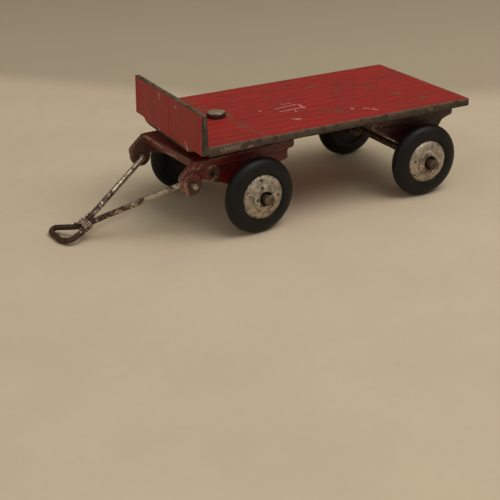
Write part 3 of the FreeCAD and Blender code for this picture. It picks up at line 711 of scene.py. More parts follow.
def material_for(key):
    """Each finish is made once, from the settings, when a piece first needs it."""
    if key in MATERIALS:
        return MATERIALS[key]
    scene = bpy.context.scene
    bed, wheels, bar = scene.trailer_bed, scene.trailer_wheels, scene.trailer_drawbar
    makers = {
        "bed": lambda: enamel_material("red_enamel", bed, BED_LOOK, BED_MARKS),
        "frame": lambda: enamel_material("red_enamel_castings", bed, FRAME_LOOK, FRAME_MARKS),
        "rear": lambda: enamel_material("red_enamel_shaded", bed, REAR_LOOK),
        "hub": lambda: casting_material(wheels),
        "tyre": lambda: rubber_material(wheels),
        "axle": lambda: steel_material(
            "axle_steel", (0.25, 0.17, 0.11), (0.075, 0.042, 0.024), 0.50, 900.0, 0.5),
        "rivet": lambda: steel_material(
            "rivet_steel", (0.46, 0.35, 0.25), (0.06, 0.022, 0.012), 0.58, 420.0, 0.45, True, 0.5),
        "wire": lambda: steel_material(
            "drawbar_wire", bar.rubbed_steel, bar.rusty_steel, 0.56, 420.0, 0.4, True),
        "binding": lambda: steel_material(
            "binding_wire", (0.6, 0.45, 0.36), (0.12, 0.06, 0.04), 0.53, 700.0, 0.42, False, 0.5),
    }
    MATERIALS[key] = makers[key]()
    return MATERIALS[key]


# ------------------------------------------------------------------ mesh helpers


def mesh_from(name, points, faces, edges=()):
    mesh = bpy.data.meshes.new(name)
    mesh.from_pydata([Vector(point) * MM for point in points], edges, faces)
    mesh.validate()
    return mesh


def face_outwards(mesh, merge=0.0):
    work = bmesh.new()
    work.from_mesh(mesh)
    if merge:
        bmesh.ops.remove_doubles(work, verts=work.verts, dist=merge)
    bmesh.ops.recalc_face_normals(work, faces=work.faces)
    work.to_mesh(mesh)
    work.free()
    return mesh


def add_object(name, mesh, smooth=True):
    piece = bpy.data.objects.new(name, mesh)
    bpy.context.scene.collection.objects.link(piece)
    if smooth and len(mesh.polygons):
        mesh.polygons.foreach_set("use_smooth", [True] * len(mesh.polygons))
    return piece


def hand_over(piece, body, nodes, finish=None):
    """Gives a finished piece its material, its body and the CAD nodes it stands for."""
    if finish is not None:
        piece.data.materials.clear()
        piece.data.materials.append(finish)
    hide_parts(*nodes)
    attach(piece, body)
    return piece


def vertex_array(mesh, what="co"):
    values = np.zeros(len(mesh.vertices) * 3, np.float32)
    if what == "co":
        mesh.vertices.foreach_get("co", values)
    else:
        mesh.vertex_normals.foreach_get("vector", values)
    return values.reshape(-1, 3).astype(float)


def put_vertices(mesh, points):
    mesh.vertices.foreach_set("co", points.astype(np.float32).ravel())
    mesh.update()


def edge_array(mesh):
    pairs = np.zeros(len(mesh.edges) * 2, np.int32)
    mesh.edges.foreach_get("vertices", pairs)
    return pairs.reshape(-1, 2)


def neighbour_mean(values, pairs, counts):
    """Mean of the neighbours' values, one row a vertex."""
    total = np.zeros_like(values)
    for column in range(values.shape[1]):
        one = values[:, column]
        total[:, column] = np.bincount(pairs[:, 0], one[pairs[:, 1]], len(values))
        total[:, column] += np.bincount(pairs[:, 1], one[pairs[:, 0]], len(values))
    return total / counts[:, None]


def soften(mesh, rounds):
    """Rounds the surface without shrinking it."""
    pairs = edge_array(mesh)
    points = vertex_array(mesh)
    counts = np.maximum(np.bincount(pairs.ravel(), minlength=len(points)), 1)
    for _ in range(rounds):
        for weight in (0.55, -0.57):
            points += weight * (neighbour_mean(points, pairs, counts) - points)
    put_vertices(mesh, points)


def store_values(mesh, name, values):
    layer = mesh.attributes.get(name) or mesh.attributes.new(name, "FLOAT", "POINT")
    layer.data.foreach_set("value", np.asarray(values, np.float32))


def mark_edges(mesh, reach, gain):
    """Stores how strongly each point lies on an outer edge, and how deep in an inner corner."""
    pairs = edge_array(mesh)
    points = vertex_array(mesh)
    normals = vertex_array(mesh, "normal")
    counts = np.maximum(np.bincount(pairs.ravel(), minlength=len(points)), 1)
    bend = ((points - neighbour_mean(points, pairs, counts)) * normals).sum(1)[:, None]
    for _ in range(reach):
        bend = 0.5 * bend + 0.5 * neighbour_mean(bend, pairs, counts)
    bend = bend[:, 0] / MM * gain
    store_values(mesh, "edge", np.clip(bend, 0, 1))
    store_values(mesh, "hollow", np.clip(-bend, 0, 1))


def roughen(mesh, amount, size, seed=0.0):
    """Pushes the surface in and out by a smooth noise; amount and size are in millimetres."""
    points = vertex_array(mesh)
    normals = vertex_array(mesh, "normal")
    shift = Vector((seed, seed * 1.7, -seed))
    heights = [noise.noise(Vector(point) / (size * MM) + shift) for point in points]
    put_vertices(mesh, points + normals * (np.array(heights) * amount * MM)[:, None])


def rounded_path(corners, step=math.radians(12)):
    """Points along (x, y, radius) corners, each rounded by an arc."""
    points = [Vector(corner[:2]) for corner in corners]
    path = [points[0]]
    for before, corner, after, spec in zip(points, points[1:], points[2:], corners[1:]):
        radius = spec[2]
        if radius <= 0:
            path.append(corner)
            continue
        back = (before - corner).normalized()
        ahead = (after - corner).normalized()
        half = back.angle(ahead) / 2
        reach = radius / math.tan(half)
        centre = corner + (back + ahead).normalized() * (radius / math.sin(half))
        start, end = corner + back * reach, corner + ahead * reach
        sweep = (start - centre).angle(end - centre)
        count = max(2, math.ceil(sweep / step))
        turn = (start - centre).angle_signed(end - centre)
        for index in range(count + 1):
            spin = Matrix.Rotation(-turn * index / count, 2)
            path.append(centre + spin @ (start - centre))
    path.append(points[-1])
    return path


def turned_mesh(name, profile, centre, axis, segments, closed=False):
    """A mesh turned about an axis from (radius, along) points; radius 0 makes a pole."""
    axis = Vector(axis).normalized()
    side = axis.orthogonal().normalized()
    up = side.cross(axis)
    points, rings = [], []
    for radius, along in profile:
        if radius < 1e-6:
            rings.append([len(points)])
            points.append(centre + axis * along)
            continue
        rings.append(list(range(len(points), len(points) + segments)))
        for index in range(segments):
            angle = math.tau * index / segments
            around = side * math.cos(angle) + up * math.sin(angle)
            points.append(centre + axis * along + around * radius)
    faces = []
    following = rings[1:] + rings[:1] if closed else rings[1:]
    for ring, after in zip(rings, following):
        for index in range(segments):
            ahead = (index + 1) % segments
            if len(ring) == 1:
                faces.append((ring[0], after[ahead], after[index]))
            elif len(after) == 1:
                faces.append((ring[index], ring[ahead], after[0]))
            else:
                faces.append((ring[index], ring[ahead], after[ahead], after[index]))
    return face_outwards(mesh_from(name, points, faces))


def spaced(profile, longest):
    """The same profile with no piece of it longer than a length."""
    points = [Vector(point) for point in profile]
    result = [points[0]]
    for start, end in zip(points, points[1:]):
        count = max(1, math.ceil((end - start).length / longest))
        result += [start.lerp(end, index / count) for index in range(1, count + 1)]
    return result


# ------------------------------------------------------------------ geometry nodes


def geometry_tree(name, inputs):
    sockets = {"Geometry": GEOMETRY, **inputs}
    return new_group(name, sockets, {"Geometry": GEOMETRY}, "GeometryNodeTree")


def dressed_tree(tree, last, given, out):
    """Ends a tree: the result of its last node is made real and gets its material."""
    real = add_node(tree, "GeometryNodeRealizeInstances", {"Geometry": last.outputs[0]})
    dressed = add_node(tree, "GeometryNodeSetMaterial", {
        "Geometry": real.outputs[0], "Material": given["Material"],
    })
    plug(out["Geometry"], dressed.outputs[0])
    return tree


def build_plank_tree():
    """Presses plank grooves into the faces marked as deck and sets each plank a little apart."""
    tree, given, out = geometry_tree("Moulded Planks", {
        "Pitch": 0.00366, "Groove Width": 0.0004, "Groove Depth": 0.0002, "Unevenness": 0.00003,
        "Seed": 4, "Material": MATERIAL,
    })
    position = tree.nodes.new("GeometryNodeInputPosition").outputs[0]
    across = add_node(tree, "ShaderNodeSeparateXYZ", {0: position}).outputs[1]
    share = Value(across) / given["Pitch"]
    line = share.reckon("ROUND")
    away = (share - line).reckon("ABSOLUTE")
    distance = away * given["Pitch"]
    inside = line.reckon("ABSOLUTE").reckon("LESS_THAN", 5.5)
    half = given["Groove Width"] * 0.5
    shape = fade(distance, half, 0.0) * inside
    deck = add_node(tree, "GeometryNodeInputNamedAttribute", {"Name": "deck"}, data_type="FLOAT")
    deck = Value(deck.outputs[0])
    groove = shape * deck
    plank = share.reckon("FLOOR")
    identity = tree.nodes.new("FunctionNodeFloatToInt")
    plug(identity.inputs[0], plank)
    chance = add_node(tree, "FunctionNodeRandomValue", data_type="FLOAT")
    plug(chance.inputs["ID"], identity.outputs[0])
    plug(chance.inputs["Seed"], given["Seed"])
    lift = (Value(chance.outputs[1]) - 0.5) * given["Unevenness"] * deck
    drop = groove * given["Groove Depth"]
    offset = add_node(tree, "ShaderNodeCombineXYZ", {2: lift - drop})
    marked = add_node(tree, "GeometryNodeStoreNamedAttribute", {
        "Geometry": given["Geometry"], "Name": "groove", "Value": groove,
    }, data_type="FLOAT", domain="POINT")
    moved = add_node(tree, "GeometryNodeSetPosition", {
        "Geometry": marked.outputs[0], "Offset": offset.outputs[0],
    })
    return dressed_tree(tree, moved, given, out)


def build_wire_tree():
    """Sweeps a round wire along a line of points, with rounded ends and slight unevenness."""
    tree, given, out = geometry_tree("Swept Wire", {
        "Radius": 0.00075, "Sides": 20, "Spacing": 0.0003, "Unevenness": 0.03,
        "Material": MATERIAL,
    })
    curve = add_node(tree, "GeometryNodeMeshToCurve", {"Mesh": given["Geometry"]})
    even = add_node(tree, "GeometryNodeResampleCurve", {
        "Curve": curve.outputs[0], "Length": given["Spacing"],
    }, mode="LENGTH")
    parameter = tree.nodes.new("GeometryNodeSplineParameter")
    whole = Value(tree.nodes.new("GeometryNodeSplineLength").outputs["Length"])
    done = Value(parameter.outputs["Length"])
    to_end = done.reckon("MINIMUM", whole - done)
    share = (to_end / given["Radius"]).held()
    gap = 1.0 - share
    round_end = (1.02 - gap * gap).reckon("SQRT")
    position = Value(tree.nodes.new("GeometryNodeInputPosition").outputs[0])
    lumps = noise_value(position, 600.0, 2, 0.5) - 0.5
    swell = 1.0 + lumps * given["Unevenness"]
    sized = add_node(tree, "GeometryNodeSetCurveRadius", {
        "Curve": even.outputs[0], "Radius": round_end * swell,
    })
    ring = add_node(tree, "GeometryNodeCurvePrimitiveCircle", {
        "Resolution": given["Sides"], "Radius": given["Radius"],
    })
    swept = add_node(tree, "GeometryNodeCurveToMesh", {
        "Curve": sized.outputs[0], "Profile Curve": ring.outputs[0], "Fill Caps": True,
    })
    smooth = add_node(tree, "GeometryNodeSetShadeSmooth", {"Geometry": swept.outputs[0]})
    return dressed_tree(tree, smooth, given, out)


def apply_tree(source, tree, values, name):
    """Runs a geometry tree on a piece and returns a new plain object with the result."""
    modifier = source.modifiers.new("shape", "NODES")
    modifier.node_group = tree
    identifiers = {
        item.name: item.identifier
        for item in tree.interface.items_tree
        if item.item_type == "SOCKET" and item.in_out == "INPUT"
    }
    for key, value in values.items():
        modifier[identifiers[key]] = value
    bpy.context.view_layer.update()
    graph = bpy.context.evaluated_depsgraph_get()
    mesh = bpy.data.meshes.new_from_object(source.evaluated_get(graph))
    mesh.name = name
    source.modifiers.remove(modifier)
    bpy.data.objects.remove(source)
    return add_object(name, mesh, smooth=False)


# ------------------------------------------------------------------ bed


# Rounding of the rear corners and thickness of the bed, in millimetres.
BED_CORNER = 0.8
BED_THICK = 2.0
# Upright seams in the front face: where they are across the bed, and how deep.
FRONT_SEAMS = (-19.9, 19.9, 1.4)
SEAM_DEPTH = 0.16
# The runs of the bed's section, one for each corner: steps before it, and what its points are.
BED_RUNS = [
    (0, ""), (28, "under"), (3, "rear"), (60, "deck"), (9, "board"), (3, "board"),
    (13, "front"), (4, "under"), (3, "under"),
]


def bed_columns(settings):
    """Positions across the bed: close together at grooves and at the rounded sides."""
    half = BED_HIGH.y
    pitch = settings.plank_pitch / MM
    width = settings.groove_width / MM
    columns = set()
    for line in range(-5, 6):
        for offset in (-0.62, -0.42, -0.25, 0.0, 0.25, 0.42, 0.62):
            columns.add(round(line * pitch + offset * width, 4))
    for line in range(-6, 6):
        for part in (0.3, 0.5, 0.7):
            columns.add(round((line + part) * pitch, 4))
    for line in FRONT_SEAMS:
        for offset in (-0.35, -0.2, 0.0, 0.2, 0.35):
            columns.add(round(line + offset, 4))
    corner, edge = BED_CORNER, settings.edge_radius / MM
    for side in (-1, 1):
        for index in range(7):
            columns.add(side * round(half - corner * (1 - math.sin(math.pi / 2 * index / 6.6)), 4))
        for index in range(6):
            columns.add(side * round(half - edge * (1 - math.sin(math.pi / 2 * index / 5)), 4))
    columns = sorted(columns)
    kept = [columns[0]]
    for value in columns[1:]:
        if value - kept[-1] > 0.012:
            kept.append(value)
    kept[-1] = half
    return kept


def bed_section(settings, drop):
    """One lengthwise section of bed, headboard and apron as (x, z, inward x, inward z, kind)."""
    back, front = BED_LOW.x, BED_HIGH.x
    top, bottom = BED_TOP, BED_TOP - BED_THICK
    edge = settings.edge_radius / MM
    foot, tip, lean = 1.95, 1.4, 0.5
    crest = BED_HIGH.z
    board_back = front - foot
    crest_front = front - lean
    crest_back = crest_front - tip
    low = bottom - drop
    corners = [
        (board_back - 0.6, bottom, 0.0, "under"),
        (back, bottom, edge, "rear"),
        (back, top, edge, "rear"),
        (board_back, top, 0.3, "deck"),
        (crest_back, crest, edge, "board"),
        (crest_front, crest, edge, "board"),
        (front, low, 0.25, "front"),
        (board_back, low, max(0.012, min(0.2, drop * 0.4)), "under"),
        (board_back, bottom, 0.01, "under"),
    ]
    section = []
    count = len(corners)
    for index, (x, z, radius, kind) in enumerate(corners):
        corner = Vector((x, z))
        before = Vector(corners[index - 1][:2])
        after = Vector(corners[(index + 1) % count][:2])
        if index and (before - corner).length > 1e-6:
            start = Vector(section[-1][:2])
            goal = corner + (start - corner).normalized() * max(radius, 0.02)
            pieces, run_kind = BED_RUNS[index]
            shares = [step / pieces for step in range(1, pieces)]
            if run_kind in ("deck", "front") or index == 4:
                length = (goal - start).length
                for near in (0.1, 0.22, 0.4):
                    shares += [near / length, 1 - near / length]
            for share in sorted(shares):
                point = start.lerp(goal, share)
                section.append((point.x, point.y, run_kind))
        if radius > 0.011:
            back_way = (before - corner).normalized()
            ahead_way = (after - corner).normalized()
            half = back_way.angle(ahead_way) / 2
            centre = corner + (back_way + ahead_way).normalized() * (radius / math.cos(half))
            start, end = corner + back_way * radius, corner + ahead_way * radius
            turn = (start - centre).angle_signed(end - centre)
            steps = 5
            for step in range(steps + 1):
                spin = Matrix.Rotation(-turn * step / steps, 2)
                point = centre + spin @ (start - centre)
                section.append((point.x, point.y, kind))
        else:
            section.append((x, z, kind))
    return section


def inward_normals(section):
    """Unit vectors into the section, one a point, in the section's own plane."""
    points = np.array([item[:2] for item in section])
    ahead = np.roll(points, -1, 0) - points
    behind = points - np.roll(points, 1, 0)
    normals = []
    for first, second in zip(behind, ahead):
        total = np.zeros(2)
        for way in (first, second):
            length = np.hypot(*way)
            if length > 1e-7:
                total += np.array([way[1], -way[0]]) / length
        normals.append(total / max(np.hypot(*total), 1e-7))
    return np.array(normals)


def apron_drop(y):
    """How far the apron hangs below the bed at a place across it."""
    reach = abs(y)
    if reach >= 16.0:
        return 0.02
    if reach >= 14.8:
        return 0.02 + 0.85 * (16.0 - reach) / 1.2
    if reach >= 12.5:
        return 0.87 + 0.38 * (14.8 - reach) / 2.3
    return 1.25


def make_bed(settings):
    columns = bed_columns(settings)
    half = BED_HIGH.y
    edge = settings.edge_radius / MM
    corner = BED_CORNER
    points, deck, wear, rim, kinds = [], [], [], [], None
    for y in columns:
        section = bed_section(settings, apron_drop(y))
        inward = inward_normals(section)
        into = half - abs(y)
        inset = edge - math.sqrt(max(edge * edge - max(edge - into, 0) ** 2, 0))
        bow = corner - math.sqrt(max(corner * corner - max(corner - into, 0) ** 2, 0))
        kinds = [item[2] for item in section]
        for (x, z, kind), (nx, nz) in zip(section, inward):
            near_back = max(0.0, 1 - (x - BED_LOW.x) / 6.0)
            x_new = x + nx * inset + bow * near_back
            z_new = z + nz * inset
            if kind == "front" or (kind == "board" and x > BED_HIGH.x - 0.9):
                for line in FRONT_SEAMS:
                    x_new -= SEAM_DEPTH * max(0.0, 1 - abs(y - line) / 0.3)
            points.append((x_new, y, z_new))
            fade_in = min(1.0, max(0.0, (BED_HIGH.x - 2.15 - x) / 0.5))
            deck.append(fade_in if z > BED_TOP - 0.35 and kind in ("deck", "rear") and
                        z < BED_TOP + 0.05 else 0.0)
            wear.append(bed_wear(x, y, z, kind, half, near_back * bow))
            rim.append(bed_rim(x, y, z, kind, half))
    rows, count = len(columns), len(kinds)
    faces = []
    for row in range(rows - 1):
        for index in range(count):
            ahead = (index + 1) % count
            here, there = row * count, (row + 1) * count
            faces.append((here + index, here + ahead, there + ahead, there + index))
    faces.append(tuple(range(count)))
    faces.append(tuple(range((rows - 1) * count, rows * count)))
    mesh = mesh_from("bed_blank", points, faces)
    store_values(mesh, "deck", deck)
    store_values(mesh, "edge", wear)
    store_values(mesh, "rim", rim)
    # hollow: the inner corner at the foot of the headboard, darkened as painted shade by the soil-and-shade mask
    foot = [max(0.0, 1 - abs(x - BED_HIGH.x + 2.0) / 0.9) * (BED_TOP - 0.1 < z < BED_TOP + 0.7)
            for x, y, z in points]
    store_values(mesh, "hollow", foot)
    face_outwards(mesh)
    roughen(mesh, 0.045, 7.0, 3.0)
    roughen(mesh, 0.02, 1.6, 8.0)
    blank = add_object("bed_blank", mesh)
    values = {
        "Pitch": settings.plank_pitch,
        "Groove Width": settings.groove_width,
        "Groove Depth": settings.groove_depth,
        "Unevenness": 0.03 * MM,
        "Seed": 4,
        "Material": material_for("bed"),
    }
    bed = apply_tree(blank, build_plank_tree(), values, "planked_bed")
    flat_sides(bed.data)
    return hand_over(bed, "chassis", ["flat_bed"])


def bed_wear(x, y, z, kind, half, bow):
    """How strongly a point of the bed is rubbed, from its distance to the outer edges."""
    into_side = half - abs(y)
    if kind == "deck":
        distance = 0.6 * min(into_side, x - BED_LOW.x - bow)
    elif kind == "rear":
        return 1.0
    elif kind == "board":
        distance = min(into_side, BED_HIGH.z - z)
    elif kind == "front":
        distance = min(into_side, BED_HIGH.z - z, (z - BED_TOP + 2.6) * 1.6 + 0.2)
    else:
        distance = into_side + 0.05
    return math.exp(-max(distance, 0.0) / 0.3)


def bed_rim(x, y, z, kind, half):
    """1 along the polished lip where an edge has been handled most."""
    into_side = half - abs(y)
    upper = math.exp(-abs(z - BED_TOP + 0.15) / 0.25) if x < BED_HIGH.x - 2 else 0.0
    crest = math.exp(-max(BED_HIGH.z - z, 0.0) / 0.25)
    return max(upper, crest) if into_side < 0.6 or kind in ("rear", "board") else crest


def flat_sides(mesh):
    """Flat shading on the two many-sided end faces."""
    for polygon in mesh.polygons:
        if len(polygon.vertices) > 20:
            polygon.use_smooth = False


# ------------------------------------------------------------------ castings


def make_casting(node, name, body, voxel, turn, centre, finish):
    """A softly rounded copy of a casting, with its outer edges and inner corners marked."""
    source = frame["nodes"][node]
    mesh = source.data.copy()
    face_outwards(mesh, merge=2e-6)
    spin = Matrix.Translation(centre) @ Matrix.Rotation(-turn, 4, "Z") @ Matrix.Translation(-centre)
    mesh.transform(spin)
    blank = add_object(name + "_blank", mesh)
    modifier = blank.modifiers.new("skin", "REMESH")
    modifier.mode = "VOXEL"
    modifier.voxel_size = voxel * MM
    bpy.context.view_layer.update()
    graph = bpy.context.evaluated_depsgraph_get()
    skin = bpy.data.meshes.new_from_object(blank.evaluated_get(graph))
    skin.name = name
    bpy.data.objects.remove(blank)
    soften(skin, 3)
    mark_edges(skin, 3, 1.0 / (0.12 * voxel))
    soften(skin, 2)
    roughen(skin, 0.07, 4.0, 5.0)
    roughen(skin, 0.03, 1.2, 9.0)
    skin.transform(spin.inverted())
    skin.materials.clear()
    piece = add_object(name, skin)
    return hand_over(piece, body, [node], material_for(finish))


# ------------------------------------------------------------------ wheels and axles


HUB_PROFILE = [
    (1.12, 2.3, 0), (1.78, 2.34, 0.08), (1.9, 3.34, 0.14), (2.7, 3.3, 0.3),
    (3.42, 3.2, 0.12), (3.56, 2.66, 0.1), (3.86, 2.64, 0.1), (4.5, 2.58, 0.4),
    (5.25, 2.26, 0.8), (5.72, 1.9, 0.25), (5.95, 1.6, 0.15), (5.97, 0.0, 0),
    (5.95, -1.6, 0.15), (5.6, -1.85, 0.15), (4.7, -0.95, 0.4), (2.7, -1.15, 0.4),
    (2.25, -3.55, 0.15), (1.12, -3.6, 0),
]


def tyre_profile(settings):
    """Closed section of the tyre as (radius, along) points."""
    outer = settings.tyre_radius / MM
    half = settings.tyre_half_width / MM
    wall = 7.07
    section = []
    for index in range(29):
        angle = -math.pi / 2 + math.pi * index / 28
        section.append((wall + (outer - wall) * math.cos(angle), half * math.sin(angle)))
    flank = [(6.6, 0.995), (6.3, 0.975), (6.08, 0.93), (5.95, 0.86), (5.9, 0.75)]
    section += [(radius, half * part) for radius, part in flank]
    section += [(5.9, half * part) for part in (0.4, 0.0, -0.4)]
    section += [(radius, -half * part) for radius, part in reversed(flank)]
    return section


def make_wheel(settings, end, hand):
    joint = JOINTS[f"wheel_{end}_{hand}_spin"]
    centre = Vector(joint["pos_m"]) / MM
    axis = Vector(joint["axis"]) * (1 if hand == "left" else -1)
    body = f"wheel_{end}_{hand}"
    seed = {"front": 0.0, "rear": 7.0}[end] + {"left": 0.0, "right": 3.0}[hand]

    tyre = turned_mesh(f"rubber_{end}_{hand}", tyre_profile(settings), centre, axis, 128, True)
    roughen(tyre, 0.03, 5.0, seed)
    piece = add_object(f"rubber_{end}_{hand}", tyre)
    hand_over(piece, body, [f"tyre_{end}_{hand}"], material_for("tyre"))

    profile = spaced(rounded_path(HUB_PROFILE, math.radians(22)), 0.3)
    hub = turned_mesh(f"casting_{end}_{hand}", profile, centre, axis, 112)
    work = bmesh.new()
    work.from_mesh(hub)
    rims = [edge for edge in work.edges if edge.is_boundary]
    bmesh.ops.bridge_loops(work, edges=rims)
    bmesh.ops.recalc_face_normals(work, faces=work.faces)
    work.to_mesh(hub)
    work.free()
    smooth = vertex_array(hub)
    spots = smooth / MM - np.array(centre)
    along = spots @ np.array(axis)
    out = np.linalg.norm(spots - along[:, None] * np.array(axis), axis=1)
    roughen(hub, 0.10, 1.5, seed + 1)
    roughen(hub, 0.05, 0.6, seed + 2)
    put_vertices(hub, np.where((out < 1.3)[:, None], smooth, vertex_array(hub)))
    mark_edges(hub, 2, 14.0)
    # inside: near black on the inner face of the hub, and black as painted shade in the recess round the axle
    recess = (out < 1.95) & (along < 3.25)
    store_values(hub, "inside", np.maximum(np.clip((1.0 - along) / 0.5, 0, 1), recess))
    store_values(hub, "stain", np.clip((4.1 - out) / 1.7, 0, 1))
    piece = add_object(f"casting_{end}_{hand}", hub)
    hand_over(piece, body, [f"hub_{end}_{hand}"], material_for("hub"))


def make_axle(end, body):
    """Rod with mushroomed ends, from one wheel's joint to the other's."""
    left = Vector(JOINTS[f"wheel_{end}_left_spin"]["pos_m"]) / MM
    right = Vector(JOINTS[f"wheel_{end}_right_spin"]["pos_m"]) / MM
    tip = 25.25
    head = [
        (0.0, tip - 0.05, 0), (0.7, tip, 0.2), (1.2, tip - 0.15, 0.25), (1.45, tip - 0.5, 0.2),
        (1.42, tip - 0.85, 0.12), (1.06, tip - 1.05, 0.08), (1.05, 0.5, 0),
    ]
    half = spaced(rounded_path(head, math.radians(20)), 0.5)
    profile = half + [Vector((point.x, -point.y)) for point in reversed(half)]
    rod = turned_mesh(f"rod_{end}", profile, (left + right) / 2, left - right, 36)
    roughen(rod, 0.05, 0.8, 2.0 if end == "front" else 6.0)
    piece = add_object(f"rod_{end}", rod)
    hand_over(piece, body, [f"{end}_axle"], material_for("axle"))


def make_rivet():
    """Pivot rivet: thick battered head on the bed, shank, and spread tail."""
    low, high = (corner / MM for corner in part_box("pivot_rivet"))
    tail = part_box("pivot_washer")[0].z / MM
    crown = high.z + 0.42
    rise = crown - BED_TOP
    corners = [
        (0.0, crown, 0), (1.5, crown - 0.06, 0.6), (2.3, BED_TOP + rise * 0.8, 0.3),
        (2.6, BED_TOP + rise * 0.5, 0.25), (2.5, BED_TOP + 0.02, 0.12), (1.2, BED_TOP, 0.05),
        (1.2, tail, 0.05), (1.95, tail - 0.1, 0.12), (1.5, low.z + 0.2, 0.3),
        (0.0, low.z + 0.05, 0),
    ]
    profile = spaced(rounded_path(corners, math.radians(18)), 0.25)
    mesh = turned_mesh("rivet", profile, Vector((PIVOT.x, PIVOT.y, 0)), (0, 0, 1), 72)
    roughen(mesh, 0.16, 1.3, 11.0)
    roughen(mesh, 0.06, 0.5, 12.0)
    heights = vertex_array(mesh)[:, 2] / MM
    store_values(mesh, "rust", np.clip((crown - 0.34 - heights) * 1.1, -0.12, 0.4))
    piece = add_object("rivet", mesh)
    hand_over(piece, "chassis", ["pivot_rivet"], material_for("rivet"))


# ------------------------------------------------------------------ drawbar


DRAWBAR_CORNERS = [
    (0, 16.15, 0), (0, 11.8, 1.3), (22.9, -1.85, 1.6), (25.6, -1.85, 1.3), (26.9, -0.9, 1.3),
    (30.5, -1.0, 2.0), (32.0, -4.4, 2.6), (31.95, -10.4, 1.7), (30.9, -12.3, 0.95),
    (26.9, -5.1, 2.0), (25.6, -4.25, 1.6), (22.9, -4.25, 1.6), (0, -11.8, 1.3), (0, -16.15, 0),
]


def bar_place(settings, along, side, lift=0.0):
    """A point of the drawbar: along it from the eyes, to its left, and square to it."""
    forward = Vector((-LIFT_AXIS.y, LIFT_AXIS.x, 0))
    slope = settings.slope
    down = forward * math.cos(slope) + Vector((0, 0, -math.sin(slope)))
    square = forward * math.sin(slope) + Vector((0, 0, math.cos(slope)))
    return EYES + down * along - LIFT_AXIS * side + square * lift


def line_object(name, points, values=None):
    links = [(index, index + 1) for index in range(len(points) - 1)]
    mesh = mesh_from(name, points, [], links)
    for key, numbers in (values or {}).items():
        store_values(mesh, key, numbers)
    return add_object(name, mesh)


def sweep_wire(line, name, node, finish, values):
    """Replaces one piece of the drawbar by a wire swept along a line."""
    values["Material"] = material_for(finish)
    wire = apply_tree(line, build_wire_tree(), values, name)
    face_outwards(wire.data)
    hand_over(wire, "drawbar", [node])


def make_drawbar(settings):
    path = spaced(rounded_path(DRAWBAR_CORNERS, math.radians(9)), 0.5)
    points = [bar_place(settings, point.x, point.y) for point in path]
    legs = [min(1.0, max(0.0, (point.x - 3.0) / 20.0)) for point in path]
    loop = [min(1.0, max(0.0, (point.x - 20.5) / 3.0)) for point in path]
    rust = [0.16 * leg + 0.12 * end - 0.03 for leg, end in zip(legs, loop)]
    line = line_object("wire_line", points, {"rust": rust})
    sweep_wire(line, "bent_wire", "drawbar", "wire", {
        "Radius": settings.wire_radius, "Sides": 24, "Spacing": 0.25 * MM, "Unevenness": 0.12,
    })


def binding_path(settings):
    """Thin wire wound unevenly round both strands of the neck, with one end sticking out."""
    reach = (settings.wire_radius + settings.binding_radius) / MM + 0.01
    near, far = -1.85, -4.25
    turns = settings.binding_turns
    steps = 12
    path = [(21.7, far - 0.5, 0.9), (22.5, far - 0.3, 1.0)]
    for index in range(turns):
        close = 23.4 + 2.2 * index / turns
        away = 23.1 + 4.2 * index / turns + 0.16 * math.sin(index * 2.3)
        loose = reach + 0.1 * (index % 2)
        far_side = far - max(0.0, away - 25.6) * 0.65
        following = close + 2.2 / turns
        if index:
            for step in range(1, steps):
                share = step / steps
                path.append((close + (away - close) * share, near + (far_side - near) * share,
                             loose + 0.12 * math.sin(math.pi * share)))
        for step in range(steps + 1):
            angle = math.pi * step / steps
            path.append((away + 0.1 * step / steps, far_side - loose * math.sin(angle),
                         loose * math.cos(angle)))
        for step in range(1, steps):
            share = step / steps
            path.append((away + 0.1 + (following - away - 0.1) * share,
                         far_side + (near - far_side) * share, -loose))
        for step in range(steps + 1):
            angle = math.pi * step / steps
            path.append((following, near + loose * math.sin(angle), -loose * math.cos(angle)))
    path += [(25.1, near - 0.9, reach + 0.12), (24.8, near - 1.6, reach + 0.3)]
    return [bar_place(settings, *place) for place in path]


def make_binding(settings):
    line = line_object("binding_line", binding_path(settings))
    sweep_wire(line, "wound_wire", "binding_wire", "binding", {
        "Radius": settings.binding_radius, "Sides": 12, "Spacing": 0.12 * MM, "Unevenness": 0.1,
    })


# ------------------------------------------------------------------ stage


# Where the camera stands, in metres, and its directions to the right and ahead.
CAMERA_PLACE = (0.11661, 0.23497, 0.10556)
CAMERA_RIGHT = (-0.8907, 0.4536, -0.0299)
CAMERA_AHEAD = (-0.4012, -0.8153, -0.4175)
# The floor, in metres: half its width, where it begins and where it starts to curve up.
FLOOR_HALF = 6.0
FLOOR_BEND = 0.75
BEND_RADIUS = 0.5
WALL_TOP = 2.2


